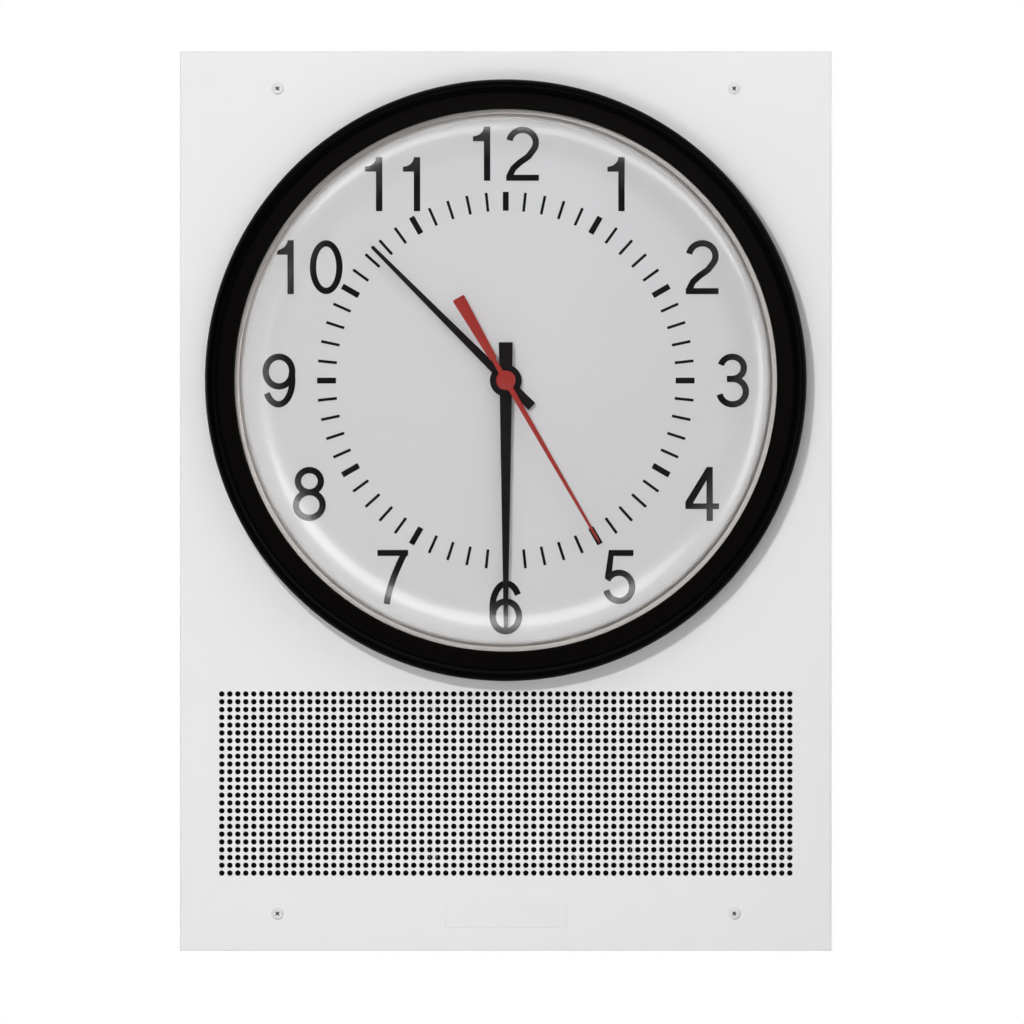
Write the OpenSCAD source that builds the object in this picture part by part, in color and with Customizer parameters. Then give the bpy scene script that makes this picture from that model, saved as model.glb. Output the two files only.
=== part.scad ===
// Network analog clock: a wall panel with a round clock head above a loudspeaker grille,
// and a network box behind the panel that drives both.
// The wall plane is y = 0, the front looks towards -Y, and z is up.
// Inside front(), x is to the right, y is up and z is the height in front of the wall plane.

/* [Face panel] */
// Width of the face panel
panel_w = 368; // [350:1:420]
// Height of the face panel
panel_h = 508; // [490:1:600]
// Thickness of the panel's steel sheet
panel_t = 1.5; // [1.2:0.1:2]
// Height of the clock's centre above the panel's centre
clock_up = 68; // [64:1:76]
// Distance of the loudspeaker's centre below the panel's centre
grille_down = 159.6; // [158:0.2:164]
// Columns of grille holes
hole_cols = 72; // [60:2:72]
// Rows of grille holes
hole_rows = 24; // [20:2:24]
// Diameter of a grille hole
hole_d = 3.0; // [2:0.1:3.2]
// Distance between grille holes along a row
hole_pitch_x = 4.52; // [4.3:0.02:4.6]
// Distance between the rows of grille holes
hole_pitch_z = 4.4; // [4.2:0.02:4.4]
// Width of the plain embossed field below the grille
field_w = 69; // [40:1:90]
// Height of the plain embossed field
field_h = 14; // [8:1:16]
// How far the embossed field stands out
field_rise = 0.3; // [0.2:0.1:0.6]
// Distance of the embossed field below the panel's centre
field_down = 234; // [230:0.5:236]

/* [Panel screws] */
// Distance between the panel screws across the panel
screw_span_x = 258; // [240:1:280]
// Distance between the panel screws up the panel
screw_span_z = 466; // [460:1:474]
// Diameter of a panel screw's shank
screw_d = 4; // [3:0.1:5]
// Diameter of a panel screw's head
screw_head_d = 6.8; // [6.4:0.1:9]
// Height of a panel screw's head
screw_head_t = 2.4; // [2:0.1:3]
// Reach of a panel screw behind the panel
screw_reach = 14; // [10:1:25]
// How much thinner in radius the neck is that keeps a panel screw in its hole
screw_neck_cut = 0.3; // [0.1:0.1:0.5]

/* [Clock head] */
// Outside diameter of the bezel
bezel_d = 339; // [338:0.5:345]
// Diameter of the bezel's opening
opening_d = 305.7; // [304:0.1:306]
// Height of the bezel in front of the panel
bezel_rise = 21; // [19:0.5:24]
// Wall of the bezel
bezel_wall = 2.4; // [1.8:0.1:2.8]
// Outside diameter of the case where it passes through the panel
case_d = 312; // [311.6:0.1:312.4]
// Wall of the case
case_wall = 2.5; // [2:0.1:2.8]
// Depth of the case behind the panel's back
case_depth = 26.5; // [26:0.5:34]
// Diameter of the case's flange in front of the panel
flange_d = 333; // [331:0.5:333.5]
// Thickness of the case's flange
flange_t = 3; // [2.5:0.1:3.2]
// Radius of the circle of screws that hold the clock head
head_screw_r = 162; // [161.5:0.1:162.3]
// Number of screws that hold the clock head
head_screws = 6; // [4:1:8]
// Thickness of the lens
lens_t = 2; // [1.5:0.1:2.5]
// Height of the lens's rounded shoulder
shoulder_rise = 13; // [11:0.5:15]
// Width of the lens's rounded shoulder
shoulder_w = 22; // [14:1:24]
// Width of the lens's flat edge that shows inside the bezel
lens_edge = 3.3; // [0.5:0.1:3.6]
// Rise of the lens from its shoulder to its middle
dome_rise = 2; // [1:0.5:4]

/* [Dial] */
// Thickness of the dial plate
dial_t = 0.8; // [0.6:0.1:1]
// Thickness of the dial's print
print_t = 0.12; // [0.1:0.02:0.3]
// Radius at the middle of the minute track
track_r = 101.2; // [96:0.2:104]
// Length of a tick of the minute track
tick_l = 10.7; // [8:0.1:12]
// Width of an hour tick
hour_tick_w = 3.3; // [2.5:0.1:4]
// Width of a minute tick
minute_tick_w = 1.6; // [1:0.1:2]
// Radius of the circle of numerals
numeral_r = 128; // [126:0.5:129]
// Height of a numeral
numeral_h = 30.5; // [24:0.5:31]
// Width of a numeral's stroke
stroke_w = 3.6; // [2.5:0.1:4]

/* [Hands] */
// Hour shown at rest
rest_hour = 10; // [0:1:11]
// Minute shown at rest
rest_minute = 30; // [0:1:59]
// Second shown at rest
rest_second = 25; // [0:1:59]
// Length of the hour hand from its axis
hour_hand_l = 107; // [80:1:115]
// Length of the minute hand from its axis
minute_hand_l = 141; // [120:1:144]
// Length of the second hand from its axis
second_hand_l = 106.8; // [90:0.1:140]
// Length of the second hand's counterweight from its axis
counterweight_l = 53.7; // [40:0.1:60]
// Thickness of the sheet of the hands
hand_t = 0.8; // [0.5:0.1:1]

/* [Movement] */
// Width of the movement's housing
movement_w = 76; // [74:1:80]
// Height of the movement's housing above its axis
movement_up = 26; // [25:1:30]
// Height of the movement's housing below its axis
movement_down = 36; // [36:1:40]
// Wall of the movement's housing
movement_wall = 2; // [1.6:0.1:2.4]
// Module of the wheels in the two stepper trains
train_module = 0.5; // [0.48:0.01:0.51]
// Distance from the hands' axis to the motion wheel
motion_c = 12; // [11.8:0.05:12.1]
// Thickness of a wheel
wheel_t = 1; // [0.8:0.05:1]

/* [Loudspeaker] */
// Side of the loudspeaker's square flange
speaker_side = 102; // [100:1:106]
// Thickness of the loudspeaker's sheet-steel frame
frame_t = 1.2; // [1:0.1:1.5]
// Depth of the loudspeaker's basket
basket_depth = 20; // [19:0.5:24]
// Radius of the magnet
magnet_r = 22.5; // [21:0.5:26]
// Thickness of the magnet
magnet_t = 8; // [8:0.5:12]
// Radius of the voice coil's former
former_r = 10; // [9.5:0.1:11]
// Travel of the cone each way
cone_travel = 1.5; // [1:0.1:1.5]

/* [Network box] */
// Width of the network box
box_w = 100; // [96:1:104]
// Height of the network box
box_h = 100; // [98:1:104]
// Depth of the network box
box_depth = 30; // [29:0.5:34]
// Wall of the network box
box_wall = 1; // [0.8:0.1:1.2]
// Distance from the panel's middle to the network box's middle
box_x = 116; // [115:1:118]
// Distance of the network box's middle below the panel's centre
box_down = 160; // [160:0.5:162]
// Gap between the panel and the network box
box_gap = 3; // [2:0.5:4]
// Travel of the reset button
button_travel = 0.6; // [0.4:0.1:0.8]

/* [Clearances] */
// Gap round the case in the panel's cut-out
case_gap = 1; // [0.8:0.1:1.2]
// Radial gap of a screw or stud in a plain hole
screw_gap = 0.4; // [0.3:0.1:0.6]
// Radial gap of a turning arbor in its bearing
run_gap = 0.05; // [0.03:0.01:0.08]
// Gap between the end of a wheel and its seat
end_gap = 0.3; // [0.2:0.05:0.4]
// Gap round a part that drops into a recess
drop_gap = 0.3; // [0.2:0.1:0.5]
// Thinning of each tooth for backlash
backlash = 0.05; // [0.03:0.01:0.08]

/* [Hidden] */

// Smoothness of round shapes: large, middle and small
fn_large = 180;
fn_mid = 72;
fn_small = 32;

// Colours
white_paint = [0.87, 0.87, 0.87];
black_plastic = [0.07, 0.07, 0.07];
dial_grey = [0.78, 0.78, 0.79];
ink = [0.08, 0.08, 0.08];
hand_black = [0.14, 0.12, 0.13];
hand_red = [0.6, 0.18, 0.16];
steel = [0.7, 0.71, 0.73];
brass = [0.78, 0.63, 0.32];
white_plastic = [0.9, 0.89, 0.85];
copper = [0.72, 0.4, 0.22];
board_green = [0.1, 0.35, 0.2];
ferrite = [0.2, 0.2, 0.21];
paper = [0.16, 0.16, 0.17];
rubber = [0.1, 0.1, 0.1];

// Heights in front of the wall plane, through the clock head
panel_front = panel_t;
flange_front = panel_front + flange_t;
rim_front = flange_front + 2.5;
gasket_t = 0.6;
lens_seat = rim_front + gasket_t;
lip_back = lens_seat + lens_t;
bezel_front = panel_front + bezel_rise;
ledge_t = 1.5;
ledge_w = 5;
dial_back = flange_front - dial_t;
dial_front = dial_back + dial_t;
case_r = case_d / 2;
case_in_r = case_r - case_wall;
dial_r = case_in_r - drop_gap;
case_back = -case_depth;
skirt_gap = 0.3;

module front() { rotate([90, 0, 0]) children(); }
module at_clock() { front() translate([0, clock_up, 0]) children(); }
module at_speaker() { front() translate([0, -grille_down, 0]) children(); }
module at_box() { front() translate([box_x, -box_down, 0]) children(); }

// A disc, ring or tube between two heights
module disc(r, low, high, fn = fn_mid) { translate([0, 0, low]) cylinder(r = r, h = high - low, $fn = fn); }
module ring(r_in, r_out, low, high, fn = fn_mid) {
    translate([0, 0, low]) linear_extrude(high - low) difference() {
        circle(r = r_out, $fn = fn);
        circle(r = r_in, $fn = fn);
    }
}
// A block from its low corner to its high corner
module block(low, high) { translate(low) cube(high - low); }

// A pan-head screw pointing to -z, with the underside of its head at z = 0 and a cross recess,
// and a thinner neck under its head where one is given
module pan_screw(shank_r, head_r, head_t, reach, cross_turn = 0, neck_l = 0, neck_cut = 0) {
    cross_w = head_r * 0.3;
    cross_l = head_r * 1.05;
    difference() {
        rotate_extrude($fn = fn_small) polygon(concat(
            [[0, 0], [head_r, 0], [head_r, head_t * 0.45]],
            [for (a = [22.5:22.5:67.5]) [head_r * (0.45 + 0.55 * cos(a)), head_t * (0.45 + 0.55 * sin(a))]],
            [[head_r * 0.45, head_t], [0, head_t]]));
        rotate([0, 0, cross_turn]) {
            block([-cross_l / 2, -cross_w / 2, head_t * 0.5], [cross_l / 2, cross_w / 2, head_t + 1]);
            block([-cross_w / 2, -cross_l / 2, head_t * 0.5], [cross_w / 2, cross_l / 2, head_t + 1]);
        }
    }
    disc(shank_r, -reach, -neck_l, fn_small);
    if (neck_l > 0) disc(shank_r - neck_cut, -neck_l, 0, fn_small);
}

// A hexagon nut on z = 0, with its width across flats
module hex_nut(across, bore_r, t) {
    linear_extrude(t) difference() {
        circle(r = across / 2 / cos(30), $fn = 6);
        circle(r = bore_r, $fn = fn_small);
    }
}

// Corners of a rectangle's four holes
function corners(w, h) = [for (sx = [-1, 1], sy = [-1, 1]) [sx * w / 2, sy * h / 2]];

// FACE PANEL
cutout_r = case_r + case_gap;
head_screw_shank = 1.5;

module grille_holes() {
    for (i = [0:hole_cols - 1], j = [0:hole_rows - 1])
        translate([(i - (hole_cols - 1) / 2) * hole_pitch_x,
            -grille_down + (j - (hole_rows - 1) / 2) * hole_pitch_z])
            circle(d = hole_d, $fn = 16);
}

module head_screw_places() {
    for (i = [0:head_screws - 1])
        rotate([0, 0, (i + 0.5) * 360 / head_screws]) translate([head_screw_r, 0]) children();
}

module face_panel() {
    color(white_paint) front() {
        linear_extrude(panel_t) difference() {
            square([panel_w, panel_h], center = true);
            translate([0, clock_up]) circle(r = cutout_r, $fn = fn_large);
            grille_holes();
            for (c = corners(screw_span_x, screw_span_z)) translate(c)
                circle(r = screw_d / 2 + screw_gap, $fn = fn_small);
            translate([0, clock_up]) head_screw_places()
                circle(r = head_screw_shank + screw_gap, $fn = fn_small);
        }
        translate([0, -field_down, panel_t]) linear_extrude(field_rise)
            square([field_w, field_h], center = true);
    }
}

module panel_screws() {
    color(white_paint) front() for (c = corners(screw_span_x, screw_span_z))
        translate([c[0], c[1], panel_front])
        pan_screw(screw_d / 2, screw_head_d / 2, screw_head_t, screw_reach + panel_t, 45,
            panel_t, screw_neck_cut);
}

// Welded studs for the loudspeaker and the network box, with their nuts
stud_r = 2;
speaker_hole_span = 82;
box_hole_span_x = box_w - 16;
box_hole_span_y = box_h - 24;
speaker_gasket_t = 2;
speaker_seat = -speaker_gasket_t;
nut_t = 3.2;
nut_across = 7;
stud_tail = 2;
box_front = -box_gap;

module panel_studs() {
    color(steel) {
        at_speaker() for (c = corners(speaker_hole_span, speaker_hole_span)) translate(c)
            disc(stud_r, speaker_seat - frame_t - nut_t - stud_tail, 0, fn_small);
        at_box() for (c = corners(box_hole_span_x, box_hole_span_y)) translate(c) {
            disc(stud_r, box_front - box_wall - nut_t - stud_tail, 0, fn_small);
            disc(collar_r, box_front, 0, fn_small);
        }
    }
}

// Black screen on the panel's back that keeps dust out of the loudspeaker
screen_t = 0.4;
screen_margin = 3;
collar_r = stud_r + 1.6;
module dust_screen() {
    screen_w = hole_cols * hole_pitch_x + 2 * screen_margin;
    screen_h = hole_rows * hole_pitch_z + 2 * screen_margin;
    color(rubber) front() translate([0, 0, -screen_t]) linear_extrude(screen_t) difference() {
        translate([0, -grille_down]) square([screen_w, screen_h], center = true);
        for (c = corners(speaker_hole_span, speaker_hole_span))
            translate([c[0], c[1] - grille_down]) circle(r = stud_r + screw_gap, $fn = fn_small);
        for (c = corners(box_hole_span_x, box_hole_span_y))
            translate([c[0] + box_x, c[1] - box_down]) circle(r = collar_r + screw_gap, $fn = fn_small);
    }
}

module stud_nuts() {
    color(steel) {
        at_speaker() for (c = corners(speaker_hole_span, speaker_hole_span))
            translate([c[0], c[1], speaker_seat - frame_t - nut_t])
            hex_nut(nut_across, stud_r + 0.05, nut_t);
        at_box() for (c = corners(box_hole_span_x, box_hole_span_y))
            translate([c[0], c[1], box_front - box_wall - nut_t])
            hex_nut(nut_across, stud_r + 0.05, nut_t);
    }
}

// CLOCK HEAD
case_floor = 2.5;
lead_hole = [52, 12];
grommet_r = 4;

module clock_case() {
    color(black_plastic) at_clock() difference() {
        rotate_extrude($fn = fn_large) polygon([
            [0, case_back], [case_r - 3, case_back], [case_r, case_back + 3], [case_r, rim_front],
            [case_in_r, rim_front], [case_in_r, dial_back], [case_in_r - ledge_w, dial_back],
            [case_in_r - ledge_w, dial_back - ledge_t], [case_in_r, dial_back - ledge_t - 2.5],
            [case_in_r, case_back + case_floor], [0, case_back + case_floor]
        ]);
        translate(lead_hole) disc(grommet_r, case_back - 1, case_back + case_floor + 1, fn_small);
    }
}

// Flange fixed round the case, with the head's screws through it
flange_fit = 0.1;
module case_flange() {
    color(black_plastic) at_clock() difference() {
        ring(case_r + flange_fit, flange_d / 2, panel_front, flange_front, fn_large);
        head_screw_places() disc(head_screw_shank + screw_gap, 0, flange_front + 1, fn_small);
    }
}

opening_r = opening_d / 2;
bezel_r = bezel_d / 2;
roll_r = 6.5;
groove_w = 1.2;
groove_t = 0.8;
band_drop = 2.2;
boss_r = 3.6;
head_screw_bite = 9;

module clock_bezel() {
    roll_x = bezel_r - roll_r;
    roll_y = bezel_front - 0.4 - roll_r;
    groove_out = roll_x;
    groove_in = groove_out - groove_w;
    color(black_plastic) at_clock() difference() {
        union() {
            rotate_extrude($fn = fn_large) polygon(concat(
                [[bezel_r - bezel_wall, panel_front + skirt_gap], [bezel_r, panel_front + skirt_gap]],
                [for (a = [0:9:90]) [roll_x + roll_r * cos(a), roll_y + roll_r * sin(a)]],
                [[groove_out, bezel_front - 0.4 - groove_t], [groove_in, bezel_front - 0.4 - groove_t]],
                [[groove_in, bezel_front - 0.15], [groove_in - 0.4, bezel_front]],
                [for (a = [0:15:90]) [opening_r + 1.5 * (1 - sin(a)),
                    bezel_front - band_drop - 1.5 * (1 - cos(a))]],
                [[opening_r, lip_back], [opening_r + bezel_wall, lip_back]],
                [[opening_r + bezel_wall, bezel_front - band_drop - 3.4],
                    [roll_x, bezel_front - bezel_wall - 0.9]],
                [for (a = [90:-15:0]) [roll_x + (roll_r - bezel_wall) * cos(a),
                    roll_y + (roll_r - bezel_wall) * sin(a)]]));
            head_screw_places() disc(boss_r, flange_front, bezel_front - 3, fn_small);
        }
        head_screw_places() disc(head_screw_shank, 0, flange_front + head_screw_bite + 1, fn_small);
    }
}

module clock_screws() {
    color(steel) at_clock() head_screw_places() mirror([0, 0, 1])
        pan_screw(head_screw_shank, 3, 1.9, flange_front + head_screw_bite);
}

lens_rim_r = case_r + 1.4;
lens_wall_r = opening_r - lens_edge;

// Height of a lens surface at radius r: an elliptic shoulder outside, a shallow dome inside
function lens_rise(r, wall_r, w, rise, dome) =
    r >= wall_r - w ? rise * sqrt(max(0, 1 - pow((r - wall_r + w) / w, 2)))
                    : rise + dome * (1 - pow(r / (wall_r - w), 2));
function lens_curve(wall_r, w, rise, dome, base) = concat(
    [for (a = [0:9:90]) let (r = wall_r - w + w * cos(a)) [r, base + lens_rise(r, wall_r, w, rise, dome)]],
    [for (k = [5:-1:0]) let (r = (wall_r - w) * k / 6) [r, base + lens_rise(r, wall_r, w, rise, dome)]]);
function reversed(list) = [for (i = [len(list) - 1:-1:0]) list[i]];

module lens() {
    inner = lens_curve(lens_wall_r - lens_t, shoulder_w - lens_t, shoulder_rise - lens_t, dome_rise,
        lens_seat + lens_t);
    color([0.9, 0.92, 0.94, 0.3]) at_clock() rotate_extrude($fn = fn_large) polygon(concat(
        [[lens_wall_r - lens_t, lens_seat], [lens_rim_r, lens_seat], [lens_rim_r, lip_back]],
        lens_curve(lens_wall_r, shoulder_w, shoulder_rise, dome_rise, lip_back),
        reversed(inner)));
}

module lens_gasket() { color(rubber) at_clock()
    ring(case_in_r + 0.2, case_r, rim_front, lens_seat, fn_large); }

dial_ring_w = 2.6;
module dial_ring() {
    color(white_plastic) at_clock() rotate_extrude($fn = fn_large) polygon([
        [case_in_r - drop_gap - dial_ring_w, dial_front], [case_in_r - drop_gap, dial_front],
        [case_in_r - drop_gap, lens_seat - 0.1], [case_in_r - drop_gap - 1, lens_seat - 0.1]
    ]);
}

// DIAL
bush_r = 4.75;
module dial_plate() {
    color(dial_grey) at_clock() ring(bush_r + 0.1, dial_r, dial_back, dial_front, fn_large);
}

module minute_track() {
    color(ink) at_clock() for (i = [0:59]) {
        w = i % 5 == 0 ? hour_tick_w : minute_tick_w;
        rotate([0, 0, -6 * i])
            block([-w / 2, track_r - tick_l / 2, dial_front],
                [w / 2, track_r + tick_l / 2, dial_front + print_t]);
    }
}

// Numerals, drawn as strokes about their own centre
function ellipse_arc(c, rx, ry, from, to, n = 16) =
    [for (i = [0:n]) let (a = from + (to - from) * i / n) [c[0] + rx * cos(a), c[1] + ry * sin(a)]];
function unit(v) = v / norm(v);
function path_normal(p, i) = let (t = unit(p[min(i + 1, len(p) - 1)] - p[max(i - 1, 0)])) [-t[1], t[0]];
module stroke(p, w = stroke_w) {
    polygon(concat([for (i = [0:len(p) - 1]) p[i] + w / 2 * path_normal(p, i)],
        [for (i = [len(p) - 1:-1:0]) p[i] - w / 2 * path_normal(p, i)]));
}
module oval_ring(c, rx, ry) {
    difference() {
        polygon(ellipse_arc(c, rx + stroke_w / 2, ry + stroke_w / 2, 0, 352, 44));
        polygon(ellipse_arc(c, rx - stroke_w / 2, ry - stroke_w / 2, 0, 352, 44));
    }
}

top_y = numeral_h / 2;
mid_y = (numeral_h - stroke_w) / 2;
half_w = numeral_h * 0.245;
digit_advance = numeral_h * 0.7;

module digit_0() { oval_ring([0, 0], half_w, mid_y); }
module digit_1() {
    polygon(concat([for (t = [0:15:90]) [-half_w + 6.2 * sin(t) + 0.8, top_y - 5.4 * cos(t)]],
        [[3.1, top_y], [3.1, -top_y], [3.1 - stroke_w, -top_y], [3.1 - stroke_w, top_y - 8.2],
            [-half_w + 0.8, top_y - 8.2]]));
}
module digit_2() {
    r = top_y * 0.47;
    stroke(concat(ellipse_arc([0, mid_y - r], half_w, r, 170, -28, 18),
        [[3.2, -1.6], [-1.6, -4.9], [-5.2, -8.2], [-6.9, -11.6], [-half_w, -top_y + 0.5]]));
    translate([-half_w - stroke_w / 2, -top_y]) square([2 * half_w + stroke_w, stroke_w * 0.95]);
}
module digit_3() {
    upper = top_y * 0.41;
    lower = mid_y - upper;
    stroke(ellipse_arc([-0.2, mid_y - upper], half_w - 0.9, upper, 165, -90, 18));
    stroke(ellipse_arc([0, lower - mid_y], half_w, lower, 90, -168, 20));
    translate([-3.2, mid_y - 2 * upper - stroke_w / 2]) square([3.4, stroke_w]);
}
module digit_4() {
    foot = -top_y * 0.56;
    translate([2.4, -top_y]) square([stroke_w, numeral_h]);
    translate([-half_w - 2, foot]) square([2 * half_w + 4, stroke_w * 0.9]);
    polygon([[2.6, top_y], [4.2, top_y], [4.2, top_y - 4.6], [-half_w + 2.2, foot + stroke_w * 0.9 - 0.1],
        [-half_w - 2, foot + stroke_w * 0.9 - 0.1], [-half_w - 2, foot + stroke_w * 0.9 + 0.9]]);
}
module digit_5() {
    r = top_y * 0.52;
    translate([-half_w + 1.6, top_y - stroke_w * 0.95]) square([2 * half_w - 1.0, stroke_w * 0.95]);
    polygon([[-half_w + 1.6, top_y], [-half_w + 4.6, top_y - 1], [-half_w + 3.1, -0.3],
        [-half_w - 0.7, -0.9]]);
    stroke(ellipse_arc([-0.1, r - mid_y], half_w, r, 152, -165, 22));
}
module digit_6() {
    r = top_y * 0.55;
    oval_ring([0, r - mid_y], half_w, r);
    stroke(ellipse_arc([0.3, 0], half_w + 0.3, mid_y, 32, 200, 20));
}
module digit_7() {
    translate([-half_w - 1, top_y - stroke_w * 0.95]) square([2 * half_w + 2.4, stroke_w * 0.95]);
    stroke(concat([for (k = [0:6])
        let (s = k / 6) [half_w - 0.6 - 10.4 * sin(s * 75), top_y - 1.6 - (numeral_h - 1.6) * s]]));
}
module digit_8() {
    upper = top_y * 0.41;
    oval_ring([0, mid_y - upper], half_w - 1, upper);
    oval_ring([0, mid_y - 2 * upper - (mid_y - upper)], half_w, mid_y - upper);
}
module digit_9() { rotate(180) digit_6(); }

module digit(d) {
    if (d == 0) digit_0();
    if (d == 1) digit_1();
    if (d == 2) digit_2();
    if (d == 3) digit_3();
    if (d == 4) digit_4();
    if (d == 5) digit_5();
    if (d == 6) digit_6();
    if (d == 7) digit_7();
    if (d == 8) digit_8();
    if (d == 9) digit_9();
}

module numeral(n) {
    if (n < 10) digit(n);
    else {
        shift = n == 11 ? 1.9 : -1.2;
        translate([shift - digit_advance / 2, 0]) digit(1);
        translate([shift + digit_advance / 2, 0]) digit(n - 10);
    }
}

module dial_numerals() {
    color(ink) at_clock() for (n = [1:12])
        translate([numeral_r * sin(30 * n), numeral_r * cos(30 * n), dial_front])
            linear_extrude(print_t) numeral(n);
}

// HANDS, each drawn pointing to 12 and turned to its rest angle
hour_pipe_r = 3;
minute_tube_r = 1.8;
second_rod_r = 0.6;
bush_in_r = hour_pipe_r + run_gap;
pipe_in_r = minute_tube_r + run_gap;
tube_in_r = second_rod_r + run_gap;

washer_t = 0.4;
head_nut_t = 2.4;
bush_front = dial_front + washer_t + head_nut_t + 0.6;
hour_hand_back = bush_front + 0.4;
hour_pipe_front = hour_hand_back + hand_t + 1;
minute_hand_back = hour_pipe_front + end_gap;
minute_tube_front = minute_hand_back + hand_t + 1;
second_hand_back = minute_tube_front + end_gap;
second_rod_front = second_hand_back + hand_t + 0.4;

hour_angle = -30 * (rest_hour + rest_minute / 60);
minute_angle = -6 * rest_minute;
second_angle = -6 * rest_second;

module hour_hand() {
    boss_r = 9;
    tail_l = 20.8;
    tail_w = 5.6;
    root_w = 5.1;
    tip_w = 2;
    color(hand_black) at_clock() rotate([0, 0, hour_angle]) {
        translate([0, 0, hour_hand_back]) linear_extrude(hand_t) difference() {
            union() {
                circle(r = boss_r, $fn = fn_mid);
                polygon(concat([[-tail_w / 2, -tail_l], [tail_w / 2, -tail_l], [root_w / 2, 0]],
                    ellipse_arc([0, hour_hand_l - tip_w / 2], tip_w / 2, tip_w / 2, 0, 180, 8),
                    [[-root_w / 2, 0]]));
            }
            circle(r = hour_pipe_r, $fn = fn_small);
        }
        ring(hour_pipe_r, hour_pipe_r + 1.5, hour_hand_back + hand_t, hour_pipe_front - 0.2, fn_small);
    }
}

module minute_hand() {
    tail_l = 21.5;
    tail_w = 7.9;
    tip_w = 2.3;
    color(hand_black) at_clock() rotate([0, 0, minute_angle]) {
        translate([0, 0, minute_hand_back]) linear_extrude(hand_t) difference() {
            polygon([[-tail_w / 2, -tail_l], [tail_w / 2, -tail_l], [tip_w / 2, minute_hand_l],
                [-tip_w / 2, minute_hand_l]]);
            circle(r = minute_tube_r, $fn = fn_small);
        }
        ring(minute_tube_r, minute_tube_r + 1.3, minute_hand_back + hand_t, minute_tube_front - 0.2,
            fn_small);
    }
}

module second_hand() {
    boss_r = 5.5;
    root_w = 3.2;
    tip_w = 1.4;
    tip_l = 4;
    neck_w = 2.5;
    neck_l = 13.3;
    weight_w = 4.2;
    weight_end_w = 7.3;
    cap_r = 4;
    cap_t = 0.4;
    color(hand_red) at_clock() rotate([0, 0, second_angle]) {
        translate([0, 0, second_hand_back]) linear_extrude(hand_t) difference() {
            union() {
                circle(r = boss_r, $fn = fn_mid);
                polygon([[-root_w / 2, 0], [root_w / 2, 0], [tip_w / 2, second_hand_l - tip_l],
                    [0, second_hand_l], [-tip_w / 2, second_hand_l - tip_l]]);
                polygon([[-neck_w / 2, 0], [-neck_w / 2, -neck_l], [-weight_w / 2, -neck_l - 0.8],
                    [-weight_end_w / 2, -counterweight_l], [weight_end_w / 2, -counterweight_l],
                    [weight_w / 2, -neck_l - 0.8], [neck_w / 2, -neck_l], [neck_w / 2, 0]]);
            }
            circle(r = second_rod_r, $fn = fn_small);
        }
        ring(second_rod_r, cap_r, second_hand_back + hand_t, second_rod_front, fn_mid);
        disc(cap_r, second_rod_front, second_rod_front + cap_t);
    }
}

// MOVEMENT
// Involute gear outline: flank angle at radius r is measured from the middle of its tooth
pressure_angle = 25;
wheel_addendum = 0.7;
pinion_addendum = 0.8;
dedendum = 1;
function roll(r, base) = sqrt(max(0, pow(r / base, 2) - 1)) * 180 / PI;
function involute(r, base) = roll(r, base) - atan(roll(r, base) * PI / 180);
function gear_outline(teeth, m, addendum) =
    let (pitch = teeth * m / 2, base = pitch * cos(pressure_angle), tip = pitch + addendum * m,
         root = pitch - dedendum * m, start = max(root, base),
         half = 90 / teeth - backlash / 2 / pitch * 180 / PI + involute(pitch, base),
         radii = concat(root < start ? [root] : [], [start, (start + tip) / 2, tip]))
    [for (t = [0:teeth - 1]) let (mid = t * 360 / teeth) each concat(
        [for (r = radii) let (a = mid - half + (r > base ? involute(r, base) : 0))
            [r * cos(a), r * sin(a)]],
        [for (r = reversed(radii)) let (a = mid + half - (r > base ? involute(r, base) : 0))
            [r * cos(a), r * sin(a)]])];

module gear(teeth, m, addendum, bore_r, low, high, turn) {
    translate([0, 0, low]) linear_extrude(high - low) difference() {
        rotate(turn) polygon(gear_outline(teeth, m, addendum));
        if (bore_r > 0) circle(r = bore_r, $fn = fn_small);
    }
}
// Turn that puts a gap of the follower on the line at angle a from the driver
function meshing_turn(a, teeth) = a + 180 + 180 / teeth;
function polar(r, a) = [r * cos(a), r * sin(a)];

// Heights of the wheels, from the inside of the front plate down
front_in = dial_back - 0.5 - movement_wall;
front_out = front_in + movement_wall;
movement_back = front_in - 18.2;
rear_in = movement_back + movement_wall;
bush_back = front_in - 1.4;
hour_wheel_top = bush_back - end_gap;
hour_wheel_low = hour_wheel_top - 1.2;
cannon_top = hour_wheel_low - end_gap;
cannon_low = cannon_top - 2.6;
motion_low = cannon_low + 0.6;
motion_top = motion_low + wheel_t;
motion_pinion_top = hour_wheel_top + 0.2;
reducer_top = cannon_low + 0.2;
reducer_low = reducer_top - wheel_t;
minute_wheel_top = reducer_low - 1.1;
minute_wheel_low = minute_wheel_top - wheel_t;
minute_tube_back = minute_wheel_low - 1;
second_wheel_top = minute_tube_back - end_gap - 1;
second_wheel_low = second_wheel_top - wheel_t;
second_reducer_top = second_wheel_low - 1;
second_reducer_low = second_reducer_top - wheel_t;
pin_r = 0.5;
pin_bite = 1.5;

// Teeth of the stepper trains: rotor and reducer pinions, reducer wheels, centre wheels
pinion_teeth = 8;
reducer_teeth = 40;
centre_teeth = 48;
reducer_c = (centre_teeth + pinion_teeth) / 2 * train_module;
rotor_c = (reducer_teeth + pinion_teeth) / 2 * train_module;
minute_train_angle = 200;
second_train_angle = -20;
minute_reducer_at = polar(reducer_c, minute_train_angle);
minute_rotor_at = polar(reducer_c + rotor_c, minute_train_angle);
second_reducer_at = polar(reducer_c, second_train_angle);
second_rotor_at = polar(reducer_c + rotor_c, second_train_angle);
motion_at = [0, motion_c];

cannon_teeth = 12;
motion_teeth = 36;
motion_pinion_teeth = 10;
hour_teeth = 40;
cannon_module = motion_c * 2 / (cannon_teeth + motion_teeth);
hour_module = motion_c * 2 / (motion_pinion_teeth + hour_teeth);

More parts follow.
